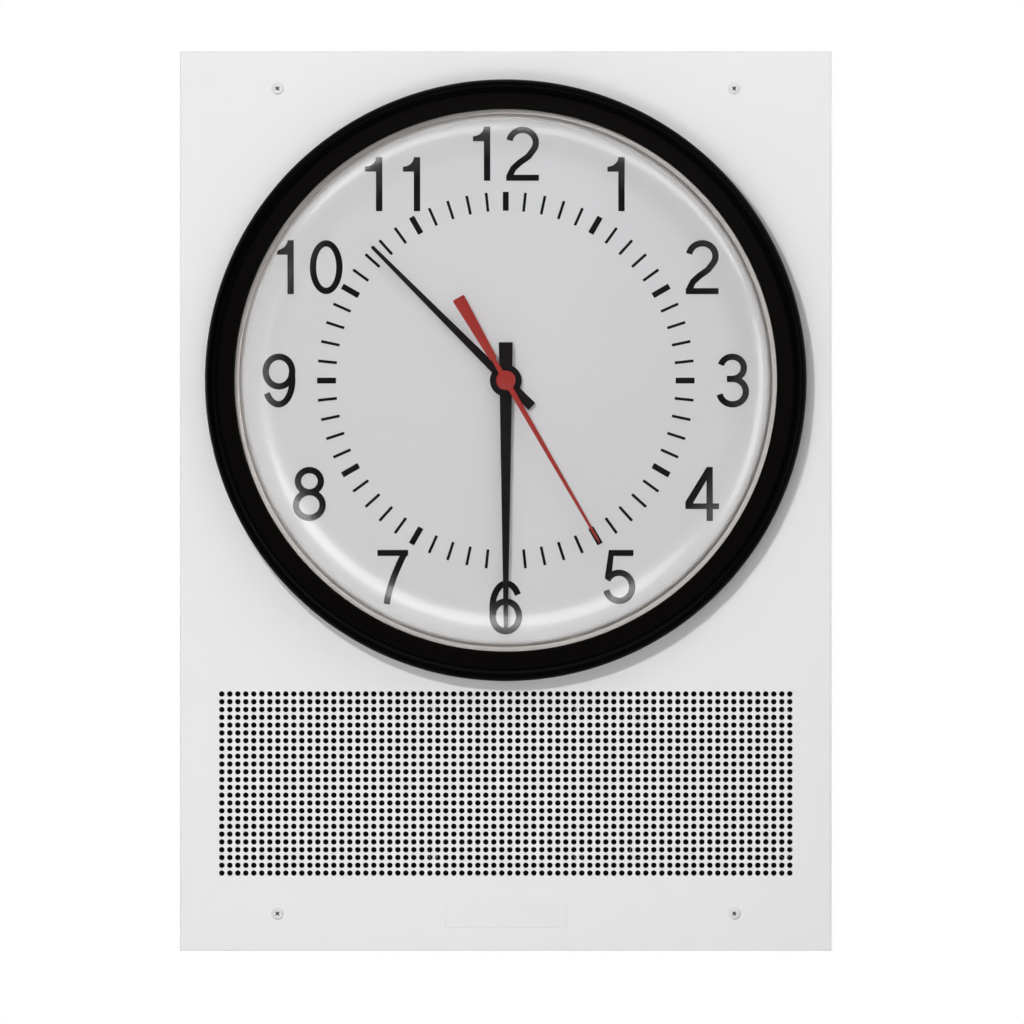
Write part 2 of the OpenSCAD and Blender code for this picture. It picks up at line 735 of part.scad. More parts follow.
module hour_wheel() {
    color(brass) at_clock() {
        gear(hour_teeth, hour_module, wheel_addendum, pipe_in_r, hour_wheel_low, hour_wheel_top, 90);
        ring(pipe_in_r, hour_pipe_r, hour_wheel_top - 0.1, hour_pipe_front, fn_small);
    }
}

module minute_arbor() {
    color(brass) at_clock() {
        gear(cannon_teeth, cannon_module, pinion_addendum, tube_in_r, cannon_low, cannon_top, 90);
        gear(centre_teeth, train_module, wheel_addendum, tube_in_r, minute_wheel_low, minute_wheel_top,
            minute_train_angle);
        ring(tube_in_r, minute_tube_r, minute_tube_back, minute_tube_front, fn_small);
    }
}

module second_arbor() {
    color(brass) at_clock() {
        gear(centre_teeth, train_module, wheel_addendum, 0, second_wheel_low, second_wheel_top,
            second_train_angle);
        disc(1.5, second_wheel_low - 1, minute_tube_back - end_gap, fn_small);
        disc(second_rod_r, rear_in + 1, second_rod_front, fn_small);
    }
}

module motion_wheel() {
    color(white_plastic) at_clock() translate(motion_at) {
        gear(motion_teeth, cannon_module, wheel_addendum, 1 + run_gap, motion_low, motion_top,
            meshing_turn(90, motion_teeth));
        gear(motion_pinion_teeth, hour_module, pinion_addendum, 1 + run_gap, motion_top - 0.1,
            motion_pinion_top,
            meshing_turn(90, motion_pinion_teeth));
    }
}

// A reducer: a wheel and a pinion on one pin
module reducer(train_angle, wheel_low, pinion_low, pinion_high) {
    color(white_plastic) {
        gear(reducer_teeth, train_module, wheel_addendum, 0, wheel_low, wheel_low + wheel_t, train_angle);
        gear(pinion_teeth, train_module, pinion_addendum, 0, pinion_low, pinion_high,
            meshing_turn(train_angle, pinion_teeth));
        disc(pin_r, min(wheel_low, pinion_low) - pin_bite, max(wheel_low + wheel_t, pinion_high) + pin_bite,
            fn_small);
    }
}
module minute_reducer() {
    at_clock() translate(minute_reducer_at)
        reducer(minute_train_angle, reducer_low, minute_wheel_low - 0.4, reducer_low + 0.1);
}
module second_reducer() {
    at_clock() translate(second_reducer_at)
        reducer(second_train_angle, second_reducer_low, second_reducer_top - 0.1, second_wheel_top + 0.4);
}

// A rotor: a magnet and a pinion on one pin
rotor_r = 3;
magnet_low = second_wheel_low + 0.2;
magnet_high = magnet_low + 3;
minute_pinion_low = reducer_low - 0.2;
minute_pinion_high = reducer_top + 0.2;
second_pinion_low = second_reducer_low - 0.2;
second_pinion_high = second_reducer_top + 0.2;
module rotor(train_angle, pinion_low, pinion_high) {
    low = min(magnet_low, pinion_low);
    high = max(magnet_high, pinion_high);
    color(ferrite) {
        disc(rotor_r, magnet_low, magnet_high, fn_small);
        gear(pinion_teeth, train_module, pinion_addendum, 0, pinion_low, pinion_high,
            meshing_turn(train_angle, pinion_teeth));
        disc(1.2, low, high, fn_small);
        disc(pin_r, low - pin_bite, high + pin_bite, fn_small);
    }
}
module minute_rotor() {
    at_clock() translate(minute_rotor_at) rotor(minute_train_angle, minute_pinion_low, minute_pinion_high);
}
module second_rotor() {
    at_clock() translate(second_rotor_at) rotor(second_train_angle, second_pinion_low, second_pinion_high);
}

// The housing: posts with pivot holes stand on both plates
movement_hole_in = 4.5;
movement_screw_r = 1.1;
post_r = 2.6;
function movement_posts() = [for (sx = [-1, 1]) each [
    [sx * (movement_w / 2 - movement_hole_in), movement_up - movement_hole_in],
    [sx * (movement_w / 2 - movement_hole_in), -movement_down + movement_hole_in]]];
pivot_r = pin_r + run_gap;
slim_post_r = 1.15;

// A post between two heights with a blind pivot hole at its free end
module pivot_post(at, r, base, tip, hole_r, depth) {
    low = min(base, tip);
    high = max(base, tip);
    translate(at) difference() {
        disc(r, low, high, fn_small);
        disc(hole_r, tip > base ? tip - depth : tip - 1, tip > base ? tip + 1 : tip + depth, fn_small);
    }
}

module movement_front() {
    color(white_plastic) at_clock() {
        difference() {
            union() {
                block([-movement_w / 2, -movement_down, front_in], [movement_w / 2, movement_up, front_out]);
                disc(bush_in_r + 1.5, bush_back, front_in + 0.1, fn_small);
            }
            disc(bush_in_r, bush_back - 1, front_out + 1, fn_small);
            for (c = movement_posts()) translate(c)
                disc(movement_screw_r, front_in - 1, front_in + 1.4, fn_small);
        }
        ring(bush_in_r, bush_r, front_out - 0.1, bush_front, fn_small);
        translate(motion_at) disc(1, motion_low - 0.3, front_in + 0.1, fn_small);
        pivot_post(minute_reducer_at, slim_post_r, front_in + 0.1, reducer_top + end_gap, pivot_r,
            pin_bite + 0.2);
        pivot_post(second_reducer_at, slim_post_r, front_in + 0.1, second_wheel_top + 0.4 + end_gap,
            pivot_r, pin_bite + 0.2);
        pivot_post(minute_rotor_at, slim_post_r, front_in + 0.1, minute_pinion_high + end_gap, pivot_r,
            pin_bite + 0.2);
        pivot_post(second_rotor_at, slim_post_r, front_in + 0.1, magnet_high + end_gap, pivot_r,
            pin_bite + 0.2);
    }
}

plug_window = [8, 4.5];
socket_at = [0, -26];
board_t = 1;
board_low = rear_in + 1;
module movement_rear() {
    w = movement_w / 2;
    color(white_plastic) at_clock() {
        difference() {
            block([-w, -movement_down, movement_back], [w, movement_up, front_in]);
            block([-w + movement_wall, -movement_down + movement_wall, rear_in],
                [w - movement_wall, movement_up - movement_wall, front_in + 1]);
            translate([socket_at[0], socket_at[1], movement_back - 1])
                block([-plug_window[0], -plug_window[1], 0],
                    [plug_window[0], plug_window[1], movement_wall + 2]);
            for (c = movement_posts()) translate(c)
                disc(movement_screw_r + 0.2, movement_back - 1, rear_in + 1, fn_small);
        }
        for (c = movement_posts()) translate(c)
            ring(movement_screw_r + 0.2, post_r, rear_in - 0.1, front_in, fn_small);
        pivot_post([0, 0], 2, rear_in - 0.1, second_wheel_low - 1 - end_gap, tube_in_r, 2.6);
        pivot_post(minute_reducer_at, slim_post_r, rear_in - 0.1, minute_wheel_low - 0.4 - end_gap, pivot_r,
            pin_bite + 0.2);
        pivot_post(second_reducer_at, slim_post_r, rear_in - 0.1, second_reducer_low - end_gap, pivot_r,
            pin_bite + 0.2);
        pivot_post(minute_rotor_at, slim_post_r, rear_in - 0.1, magnet_low - end_gap, pivot_r,
            pin_bite + 0.2);
        pivot_post(second_rotor_at, slim_post_r, rear_in - 0.1, second_pinion_low - end_gap, pivot_r,
            pin_bite + 0.2);
    }
}

module movement_screws() {
    color(steel) at_clock() for (c = movement_posts()) translate([c[0], c[1], movement_back])
        mirror([0, 0, 1])
        pan_screw(movement_screw_r, 2.1, 1.4, front_in - movement_back + 1.2);
}

module movement_nut() {
    color(brass) at_clock() {
        ring(bush_r + 0.05, bush_r + 4, dial_front, dial_front + washer_t, fn_small);
        translate([0, 0, dial_front + washer_t]) hex_nut(14, bush_r + 0.05, head_nut_t);
    }
}

module seat_washer() { color(rubber) at_clock()
    ring(bush_r + 0.1, bush_r + 8, front_out, dial_back, fn_mid); }

// Stepper iron and coils: the iron plate holds the coil below the rotor
coil_y = -25;
coil_l = 16;
coil_r = 3.8;
iron_t = 1;
iron_mid = (magnet_low + magnet_high) / 2;
function stepper_xs() = [minute_rotor_at[0], second_rotor_at[0]];
module stators() {
    color(steel) at_clock() for (x = stepper_xs()) {
        rotor_y = minute_rotor_at[1];
        core_w = 3;
        iron_eye = 4.6;
        leg = coil_l / 2 - 0.5;
        translate([x, 0, iron_mid - iron_t / 2]) linear_extrude(iron_t) difference() {
            union() {
                translate([-leg - 1, rotor_y - iron_eye]) square([2 * leg + 2, 2 * iron_eye]);
                translate([-leg - 1, coil_y - core_w / 2]) square([3, rotor_y - coil_y]);
                translate([leg - 2, coil_y - core_w / 2]) square([3, rotor_y - coil_y]);
                translate([-leg - 1, coil_y - core_w / 2]) square([2 * leg + 2, core_w]);
            }
            translate([0, rotor_y]) circle(r = rotor_r + 0.5, $fn = fn_small);
        }
    }
}
module coils() {
    color(copper) at_clock() for (x = stepper_xs()) {
        half = coil_l / 2 - 2.8;
        difference() {
            translate([x, coil_y, iron_mid]) rotate([0, 90, 0]) translate([0, 0, -half]) {
                cylinder(r = coil_r - 0.6, h = 2 * half, $fn = fn_small);
                cylinder(r = coil_r, h = 0.8, $fn = fn_small);
                translate([0, 0, 2 * half - 0.8]) cylinder(r = coil_r, h = 0.8, $fn = fn_small);
            }
            translate([x, coil_y, iron_mid]) cube([coil_l, 3.1, iron_t + 0.1], center = true);
        }
    }
}

board_top_y = -17.5;
board_bottom_y = -movement_down + movement_wall + 0.5;
board_half_w = movement_w / 2 - movement_wall - 5.6;
module movement_board() {
    color(board_green) at_clock() {
        block([-board_half_w, board_bottom_y, board_low], [board_half_w, board_top_y, board_low + board_t]);
        for (sx = [-1, 1], y = [board_bottom_y + 2, board_top_y - 1.6])
            translate([sx * (board_half_w - 2), y]) disc(1, rear_in, board_low, fn_small);
    }
}

// The sensor under the second wheel, and the socket for the lead's plug
plug_t = 4.5;
module movement_parts() {
    color(ferrite) at_clock() {
        block([-2.2, board_top_y - 1, board_low + board_t], [2.2, -10, second_wheel_low - 0.35]);
        difference() {
            block([socket_at[0] - 7, socket_at[1] - 3.6, movement_back],
                [socket_at[0] + 7, socket_at[1] + 3.6, board_low]);
            block([socket_at[0] - 6, socket_at[1] - 2.6, movement_back - 1],
                [socket_at[0] + 6, socket_at[1] + 2.6, movement_back + 2]);
        }
    }
}
module clock_plug() {
    color(white_plastic) at_clock() {
        block([socket_at[0] - 5.8, socket_at[1] - 2.4, movement_back - 0.1],
            [socket_at[0] + 5.8, socket_at[1] + 2.4, movement_back + 2]);
        block([socket_at[0] - 7, socket_at[1] - 3.6, movement_back - plug_t],
            [socket_at[0] + 7, socket_at[1] + 3.6, movement_back]);
    }
}

// LOUDSPEAKER, with its front towards the grille
flange_back = speaker_seat - frame_t;
basket_back = flange_back - basket_depth;
top_plate_t = 3;
yoke_t = 3;
pole_r = former_r - 0.6;
gap_r = former_r + 0.9;
basket_mouth_r = 47;
basket_throat_r = magnet_r + 1.5;
spider_ledge = flange_back - 13.5;
ledge_r = 30;
magnet_front = basket_back - top_plate_t;
magnet_back = magnet_front - magnet_t;
spider_t = 0.5;
spider_rise = 0.9;
surround_land = 1.8;
surround_step_r = 43.3;
surround_out_r = basket_mouth_r - frame_t - 0.2;
surround_in_r = 37.5;
cone_edge = flange_back - 0.4;
cone_neck = spider_ledge + frame_t + spider_t + spider_rise + 0.5;
cone_t = 0.6;
neck_r = former_r + 0.05;
neck_front = cone_neck + 1;
// Height of the cone's front face at radius r
function cone_front(r) =
    neck_front + (r - neck_r) * (cone_edge - neck_front) / (surround_in_r - 0.4 - neck_r);

module speaker_frame() {
    window_w = 30;
    color(ferrite) at_speaker() difference() {
        union() {
            translate([0, 0, flange_back]) linear_extrude(frame_t) difference() {
                square(speaker_side, center = true);
                circle(r = basket_mouth_r - frame_t, $fn = fn_mid);
                for (c = corners(speaker_hole_span, speaker_hole_span)) translate(c)
                    circle(r = stud_r + screw_gap, $fn = fn_small);
            }
            rotate_extrude($fn = fn_mid) polygon([
                [basket_mouth_r, flange_back + 0.1], [basket_mouth_r, cone_edge - frame_t],
                [surround_step_r + frame_t, cone_edge - frame_t], [ledge_r + 2, spider_ledge],
                [ledge_r - 3, spider_ledge], [basket_throat_r, basket_back], [former_r + 3, basket_back],
                [former_r + 3, basket_back + frame_t], [basket_throat_r - frame_t, basket_back + frame_t],
                [ledge_r - 3 - frame_t, spider_ledge + frame_t],
                    [ledge_r + 2 - frame_t, spider_ledge + frame_t],
                [surround_step_r, cone_edge], [basket_mouth_r - frame_t, cone_edge],
                [basket_mouth_r - frame_t, flange_back + 0.1]
            ]);
        }
        for (i = [0:3]) rotate([0, 0, 45 + i * 90])
            translate([ledge_r + 3.5, -window_w / 2, spider_ledge + 2])
            cube([20, window_w, flange_back - spider_ledge - 6]);
    }
}
module speaker_gasket() {
    color(rubber) at_speaker() ring(basket_mouth_r + 0.2, speaker_side / 2 - 0.5, speaker_seat, -screen_t,
        fn_mid);
}
module speaker_top_plate() {
    color(steel) at_speaker() ring(gap_r, magnet_r, magnet_front, basket_back, fn_mid);
}
module speaker_magnet() {
    color(ferrite) at_speaker() ring(pole_r + 3.5, magnet_r, magnet_back, magnet_front, fn_mid);
}
module speaker_yoke() {
    color(steel) at_speaker() {
        disc(magnet_r, magnet_back - yoke_t, magnet_back);
        disc(pole_r, magnet_back - 0.1, basket_back - 0.4);
    }
}
module voice_coil() {
    color(copper) at_speaker() {
        ring(former_r - 0.3, former_r, magnet_front - 3.2, cone_neck + 0.5, fn_mid);
        ring(former_r, former_r + 0.45, magnet_front - 1, basket_back + 1, fn_mid);
    }
}
module speaker_cone() {
    color(paper) at_speaker() rotate_extrude($fn = fn_mid) polygon([
        [neck_r, cone_neck], [neck_r + 0.5, cone_neck], [surround_in_r, cone_edge - cone_t],
        [surround_in_r + surround_land, cone_edge - cone_t], [surround_in_r + surround_land, cone_edge],
        [surround_in_r - 0.4, cone_edge], [neck_r, neck_front]
    ]);
}
module dust_cap() {
    cap_r = 13;
    cap_in_r = cap_r - 0.8;
    cap_rise = 4;
    function cap_curve(r, base, rise, k) = [r * (1 - k / 6), base + rise * (1 - pow(1 - k / 6, 2))];
    color(paper) at_speaker() rotate_extrude($fn = fn_mid) polygon(concat(
        [for (k = [0:6]) cap_curve(cap_r, cone_front(cap_r), cap_rise, k)],
        [for (k = [6:-1:0]) cap_curve(cap_in_r, cone_front(cap_in_r), cap_rise - 0.4, k)]));
}
module speaker_surround() {
    surround_t = 0.4;
    roll_w = (surround_step_r - surround_in_r - surround_land) / 2;
    roll_rise = roll_w * 0.8;
    mid_r = surround_in_r + surround_land + roll_w;
    color(rubber) at_speaker() rotate_extrude($fn = fn_mid) polygon(concat(
        [[surround_in_r, cone_edge], [surround_in_r, cone_edge + surround_t]],
        [for (a = [180:-20:0]) [mid_r + roll_w * cos(a), cone_edge + surround_t + roll_rise * sin(a)]],
        [[surround_out_r, cone_edge + surround_t], [surround_out_r, cone_edge]],
        [for (a = [0:20:180]) [mid_r + (roll_w - surround_t) * cos(a), cone_edge + roll_rise * sin(a)]]));
}
module speaker_spider() {
    waves = 3;
    land_r = ledge_r - 3;
    spider_back = spider_ledge + frame_t;
    step = (land_r - neck_r) / (waves * 8);
    function wave(k) = spider_back + spider_rise * (1 - cos(k * 45)) / 2;
    color([0.75, 0.6, 0.3]) at_speaker() rotate_extrude($fn = fn_mid) polygon(concat(
        [for (k = [0:waves * 8]) [neck_r + k * step, wave(k) + spider_t]],
        [[ledge_r - 0.5, spider_back + spider_t], [ledge_r - 0.5, spider_back]],
        [for (k = [waves * 8:-1:0]) [neck_r + k * step, wave(k)]]));
}
module speaker_terminals() {
    color(white_plastic) at_speaker() translate([ledge_r, 0, 0])
        block([-2, -9, spider_ledge - 3.4], [8, 9, spider_ledge]);
}

// NETWORK BOX: a steel tray whose floor faces the panel, with a cover behind
box_back = box_front - box_depth;
tray_floor = box_front - box_wall;
pcb_t = 1.6;
pcb_gap = 5;
pcb_high = tray_floor - pcb_gap;
pcb_low = pcb_high - pcb_t;
pcb_half_w = box_w / 2 - 6;
pcb_half_h = box_h / 2 - 1.6;
jack_w = 16;
jack_h = 13.6;
jack_l = 21;
jack_x = -16;
button_x = 10;
button_r = 1.5;
switch_face = box_h / 2 - 4;
lamp_x = [20, 26];
lamp_r = 1.5;
port_z = pcb_low - 3.2;
lead_z = pcb_low - 6;
clock_exit_x = 10;
speaker_exit_y = 10;
cover_screw_r = 1.25;
ear_r = 3;

function cover_screw_places() = corners(box_w - 9, box_h - 9);

module network_box() {
    color(steel) at_box() {
        difference() {
            block([-box_w / 2, -box_h / 2, box_back], [box_w / 2, box_h / 2, box_front]);
            block([-box_w / 2 + box_wall, -box_h / 2 + box_wall, box_back - 1],
                [box_w / 2 - box_wall, box_h / 2 - box_wall, tray_floor]);
            for (c = corners(box_hole_span_x, box_hole_span_y)) translate(c)
                disc(stud_r + screw_gap, tray_floor - 1, box_front + 1, fn_small);
            block([jack_x - jack_w / 2 - 0.3, -box_h / 2 - 1, pcb_low - jack_h - 0.3],
                [jack_x + jack_w / 2 + 0.3, -box_h / 2 + box_wall + 1, pcb_low + 0.3]);
            translate([button_x, -box_h / 2, port_z]) rotate([90, 0, 0])
                cylinder(r = button_r + 0.4, h = 4, center = true, $fn = fn_small);
            for (x = lamp_x) translate([x, -box_h / 2, port_z]) rotate([90, 0, 0])
                cylinder(r = lamp_r + 0.2, h = 4, center = true, $fn = fn_small);
            translate([clock_exit_x, box_h / 2, lead_z]) rotate([90, 0, 0])
                cylinder(r = grommet_r, h = 4, center = true, $fn = fn_small);
            translate([-box_w / 2, speaker_exit_y, lead_z]) rotate([0, 90, 0])
                cylinder(r = grommet_r, h = 4, center = true, $fn = fn_small);
        }
        for (c = cover_screw_places()) translate(c)
            ring(cover_screw_r, ear_r, box_back, tray_floor + 0.1, fn_small);
    }
}
module network_cover() {
    color(steel) at_box() difference() {
        block([-box_w / 2, -box_h / 2, box_back - box_wall], [box_w / 2, box_h / 2, box_back]);
        for (c = cover_screw_places()) translate(c)
            disc(cover_screw_r + 0.3, box_back - box_wall - 1, box_back + 1, fn_small);
    }
}
module cover_screws() {
    color(steel) at_box() for (c = cover_screw_places()) translate([c[0], c[1], box_back - box_wall])
        mirror([0, 0, 1])
        pan_screw(cover_screw_r, 2.7, 1.8, 8);
}
module network_board() {
    color(board_green) at_box() {
        difference() {
            block([-pcb_half_w, -pcb_half_h, pcb_low], [pcb_half_w, pcb_half_h, pcb_high]);
            for (c = corners(box_hole_span_x, box_hole_span_y)) translate(c)
                disc(5.5, pcb_low - 1, pcb_high + 1, fn_small);
            for (c = cover_screw_places()) translate(c)
                disc(ear_r + 0.5, pcb_low - 1, pcb_high + 1, fn_small);
        }
        for (c = corners(60, 40)) translate(c) disc(2.5, pcb_high - 0.1, tray_floor, fn_small);
    }
}
module network_jack() {
    mouth_w = 11.8;
    mouth_h = 8;
    mouth_l = 14;
    low = pcb_low - jack_h;
    color(steel) at_box() difference() {
        block([jack_x - jack_w / 2, -box_h / 2, low], [jack_x + jack_w / 2, -box_h / 2 + jack_l, pcb_low]);
        block([jack_x - mouth_w / 2, -box_h / 2 - 1, low + 2.4],
            [jack_x + mouth_w / 2, -box_h / 2 + mouth_l, low + 2.4 + mouth_h]);
    }
}
module board_parts() {
    color(ferrite) at_box() {
        block([4, -14, pcb_low - 12], [24, 6, pcb_low]);
        block([-30, 2, pcb_low - 2], [-16, 16, pcb_low]);
        block([-8, 14, pcb_low - 2.2], [2, 24, pcb_low]);
        for (x = [-34, -24]) translate([x, -14]) disc(4, pcb_low - 12, pcb_low, fn_small);
        block([button_x - 3.5, -switch_face, port_z - 3], [button_x + 3.5, -switch_face + 6, pcb_low]);
    }
}
module reset_button() {
    collar_r = button_r + 1.1;
    tip = box_h / 2 + 1.1;
    seat = box_h / 2 - box_wall - 0.1;
    foot = switch_face + button_travel + 0.1;
    color(hand_red) at_box() translate([button_x, 0, port_z]) rotate([90, 0, 0]) {
        disc(button_r, foot, tip, fn_small);
        disc(collar_r, foot, seat, fn_small);
    }
}
module status_lamps() {
    color([0.5, 0.9, 0.5]) at_box() for (x = lamp_x) {
        translate([x, 0, port_z]) rotate([90, 0, 0]) translate([0, 0, box_h / 2 - 6])
            cylinder(r = lamp_r, h = 6.4, $fn = fn_small);
        block([x - lamp_r, -box_h / 2 + 4, port_z], [x + lamp_r, -box_h / 2 + 6.5, pcb_low]);
    }
}
module terminal_block() {
    color([0.2, 0.5, 0.3]) at_box() {
        block([-pcb_half_w + 1, speaker_exit_y - 8, pcb_low - 9],
            [-pcb_half_w + 9, speaker_exit_y + 8, pcb_low]);
        block([clock_exit_x - 8, pcb_half_h - 12, pcb_low - 9], [clock_exit_x + 8, pcb_half_h - 4, pcb_low]);
    }
}

// LEADS: swept tubes along routes of hand-picked points
clock_lead_r = 1.8;
speaker_lead_r = 1.4;

module grommets() {
    color(rubber) {
        at_box() translate([clock_exit_x, box_h / 2 - box_wall / 2, lead_z]) rotate([90, 0, 0])
            grommet(clock_lead_r, box_wall);
        at_box() translate([-box_w / 2 + box_wall / 2, speaker_exit_y, lead_z]) rotate([0, 90, 0])
            grommet(speaker_lead_r, box_wall);
        at_clock() translate([lead_hole[0], lead_hole[1], case_back + case_floor / 2])
            grommet(clock_lead_r, case_floor);
    }
}
module grommet(bore_r, wall) {
    rotate_extrude($fn = fn_small) polygon([
        [bore_r + 0.1, -wall / 2 - 1.5], [grommet_r + 1.5, -wall / 2 - 1.5], [grommet_r + 1.5, -wall / 2],
        [grommet_r, -wall / 2], [grommet_r, wall / 2], [grommet_r + 1.5, wall / 2],
            [grommet_r + 1.5, wall / 2 + 1.5],
        [bore_r + 0.1, wall / 2 + 1.5]
    ]);
}

// Points of the clock head's lead: out of the box, up behind the panel and the case, into the case
box_top = -box_down + box_h / 2;
box_left = box_x - box_w / 2;
clock_route = [
    for (up = [-5.6, 2, 10]) [box_x + clock_exit_x, box_top + up, lead_z],
    [125.5, -86, -16.6], [124, -72, -17],
    [121, -58, -20], [117, -45, -25.5], [112, -33, -29.5], [106, -21, -31.2], [98, -8, -31.6],
    [89, 7, -31.8], [80, 22, -32], [71, 37, -32.4], [63, 51, -33.6], [57, 62, -35], [53.6, 71, -35.4],
    [52.2, 77, -33.6], [52, 80, -30], [52, 80, -26], [52, 80, -22], [50.5, 78, -19.7], [46, 73, -19.2],
    [38, 64, -19.2], [28, 54, -19.2], [20, 46, -19.2], [15, 42.6, -19.2], [11, 42, -19.2], [7, 42, -19.2]
];
// Points of the loudspeaker's lead: out of the box's side to the terminals
speaker_route = [
    for (in = [7, 3, -2]) [box_left + in, speaker_exit_y - box_down, lead_z],
    [58, -150.6, -16.8], [52, -152.2, -17.4],
    [47, -154.4, -18], [43, -155.6, -18.4], [38, -155.6, -18.4]
];

function tangent(p, i) = unit(p[min(i + 1, len(p) - 1)] - p[max(i - 1, 0)]);
// Side direction at each point, carried along the route so that the tube doesn't twist
function sides(p, i = 0, last = [0, 0, 1]) =
    i == len(p) ? [] : let (t = tangent(p, i), s = unit(last - (last * t) * t))
        concat([s], sides(p, i + 1, s));
module tube(p, r, n = 8) {
    s = sides(p);
    rings = [for (i = [0:len(p) - 1]) let (u = s[i], v = cross(tangent(p, i), u))
        for (k = [0:n - 1]) p[i] + r * (cos(k * 360 / n) * u + sin(k * 360 / n) * v)];
    last = (len(p) - 1) * n;
    polyhedron(points = rings, faces = concat(
        [[for (k = [0:n - 1]) k]],
        [[for (k = [n - 1:-1:0]) last + k]],
        [for (i = [0:len(p) - 2], k = [0:n - 1]) [i * n + k, (i + 1) * n + k, (i + 1) * n + (k + 1) % n]],
        [for (i = [0:len(p) - 2], k = [0:n - 1]) [i * n + k, (i + 1) * n + (k + 1) % n,
            i * n + (k + 1) % n]]));
}

module clock_lead() { color(white_plastic) front() tube(clock_route, clock_lead_r); }
module speaker_lead() { color(ink) front() tube(speaker_route, speaker_lead_r); }

// A saddle clip that stands on a face at height base and holds the lead at route point i
module lead_clip(i, base) {
    clip_w = 9;
    clip_l = 6;
    at = clock_route[i];
    along = tangent(clock_route, i);
    turn = atan2(along[1], along[0]);
    difference() {
        translate([at[0], at[1], 0]) rotate([0, 0, turn])
            block([-clip_l / 2, -clip_w / 2, at[2] - clock_lead_r - 1.4], [clip_l / 2, clip_w / 2, base]);
        translate(at) rotate([0, 0, turn]) rotate([0, 90 - asin(along[2]), 0])
            cylinder(r = clock_lead_r + 0.2, h = 4 * clip_l, center = true, $fn = fn_small);
    }
}
module lead_clips() {
    color(black_plastic) front() {
        lead_clip(4, 0);
        lead_clip(10, case_back);
        lead_clip(12, case_back);
    }
}

face_panel();
panel_screws();
panel_studs();
stud_nuts();
dust_screen();
clock_case();
case_flange();
clock_bezel();
clock_screws();
lens();
lens_gasket();
dial_ring();
dial_plate();
dial_numerals();
minute_track();
hour_hand();
minute_hand();
second_hand();
movement_front();
movement_rear();
movement_screws();
movement_nut();
seat_washer();
hour_wheel();
minute_arbor();
second_arbor();
motion_wheel();
minute_reducer();
minute_rotor();
second_reducer();
second_rotor();
stators();
coils();
movement_board();
movement_parts();
clock_plug();
speaker_frame();
speaker_gasket();
speaker_yoke();
speaker_magnet();
speaker_top_plate();
speaker_surround();
speaker_cone();
dust_cap();
voice_coil();
speaker_spider();
speaker_terminals();
network_box();
network_cover();
cover_screws();
network_board();
network_jack();
board_parts();
terminal_block();
reset_button();
status_lamps();
clock_lead();
speaker_lead();
grommets();
lead_clips();
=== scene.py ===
import bmesh
import bpy
import numpy as np
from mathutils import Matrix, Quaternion, Vector
from mathutils.geometry import delaunay_2d_cdt


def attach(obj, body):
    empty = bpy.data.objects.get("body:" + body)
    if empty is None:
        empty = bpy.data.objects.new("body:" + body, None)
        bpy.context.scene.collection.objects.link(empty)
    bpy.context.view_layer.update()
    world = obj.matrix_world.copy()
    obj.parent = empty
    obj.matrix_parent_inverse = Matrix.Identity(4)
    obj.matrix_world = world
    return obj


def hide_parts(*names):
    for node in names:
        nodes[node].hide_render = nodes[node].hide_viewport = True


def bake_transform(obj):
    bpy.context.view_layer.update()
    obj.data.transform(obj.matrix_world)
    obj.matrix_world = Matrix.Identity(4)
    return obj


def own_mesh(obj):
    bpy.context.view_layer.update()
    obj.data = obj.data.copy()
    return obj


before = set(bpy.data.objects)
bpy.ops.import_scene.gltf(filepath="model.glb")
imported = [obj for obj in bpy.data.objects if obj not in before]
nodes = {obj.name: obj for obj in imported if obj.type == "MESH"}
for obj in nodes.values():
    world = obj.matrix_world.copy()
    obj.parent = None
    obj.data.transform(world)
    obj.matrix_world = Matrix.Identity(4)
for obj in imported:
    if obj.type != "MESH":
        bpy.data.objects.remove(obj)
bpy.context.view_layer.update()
scene = bpy.context.scene
print("frame loaded:", len(nodes), "CAD nodes")

mm = 0.001
joinWithin = 2e-6   # points of a piece this near each other, in metres, become one
clockUp = 68.0      # the clock's centre above the panel's centre, in mm
panelFront = 1.5    # the panel's front face in front of the wall, in mm
fourCorners = [(sx, sz) for sx in (-1, 1) for sz in (-1, 1)]
rectangle = np.array([[-1, -1], [1, -1], [1, 1], [-1, 1]])    # the signs of its corners, in turn

view = {
    "place": (0.0035, -4.5, -0.0062),   # straight in front, a little right of and below the panel's centre
    "width": 0.5787,                    # what the picture shows across, at the panel
    "sensor": 36.0,
}
camera = bpy.data.objects.new("camera", bpy.data.cameras.new("camera"))
camera.location = view["place"]
camera.rotation_euler = (np.pi / 2, 0, 0)
camera.data.sensor_width = view["sensor"]
camera.data.lens = view["sensor"] * -view["place"][1] / view["width"]
camera.data.clip_end = 60
scene.collection.objects.link(camera)
scene.camera = camera
scene.view_settings.view_transform = "Standard"

room = {
    "ambient": 0.17,        # light from all round
    "mirrorFront": 0.1,     # what a shiny surface shows of the room in front
    "behind": (-0.2, 0.3),  # from where to where, towards +y, a reflection turns to the white behind
    "floorDown": 1.25,
    "floorSize": 6.0,
    "floorColour": (0.8, 0.8, 0.79, 1),
    "floorGlow": 0.45,      # what the camera sees on top of the floor's own light and shadow
}


def addNode(tree, kind, sockets=None, **settings):
    # One shader node, with its settings and the values or links of its inputs
    node = tree.nodes.new(kind)
    for key, value in settings.items():
        setattr(node, key, value)
    for key, value in (sockets or {}).items():
        if isinstance(value, bpy.types.NodeSocket):
            tree.links.new(value, node.inputs[key])
        else:
            node.inputs[key].default_value = value
    return node


def freshTree(owner):
    owner.use_nodes = True
    owner.node_tree.nodes.clear()
    return owner.node_tree


def addOutput(tree, shader, kind="ShaderNodeOutputMaterial"):
    tree.links.new(shader, addNode(tree, kind).inputs["Surface"])


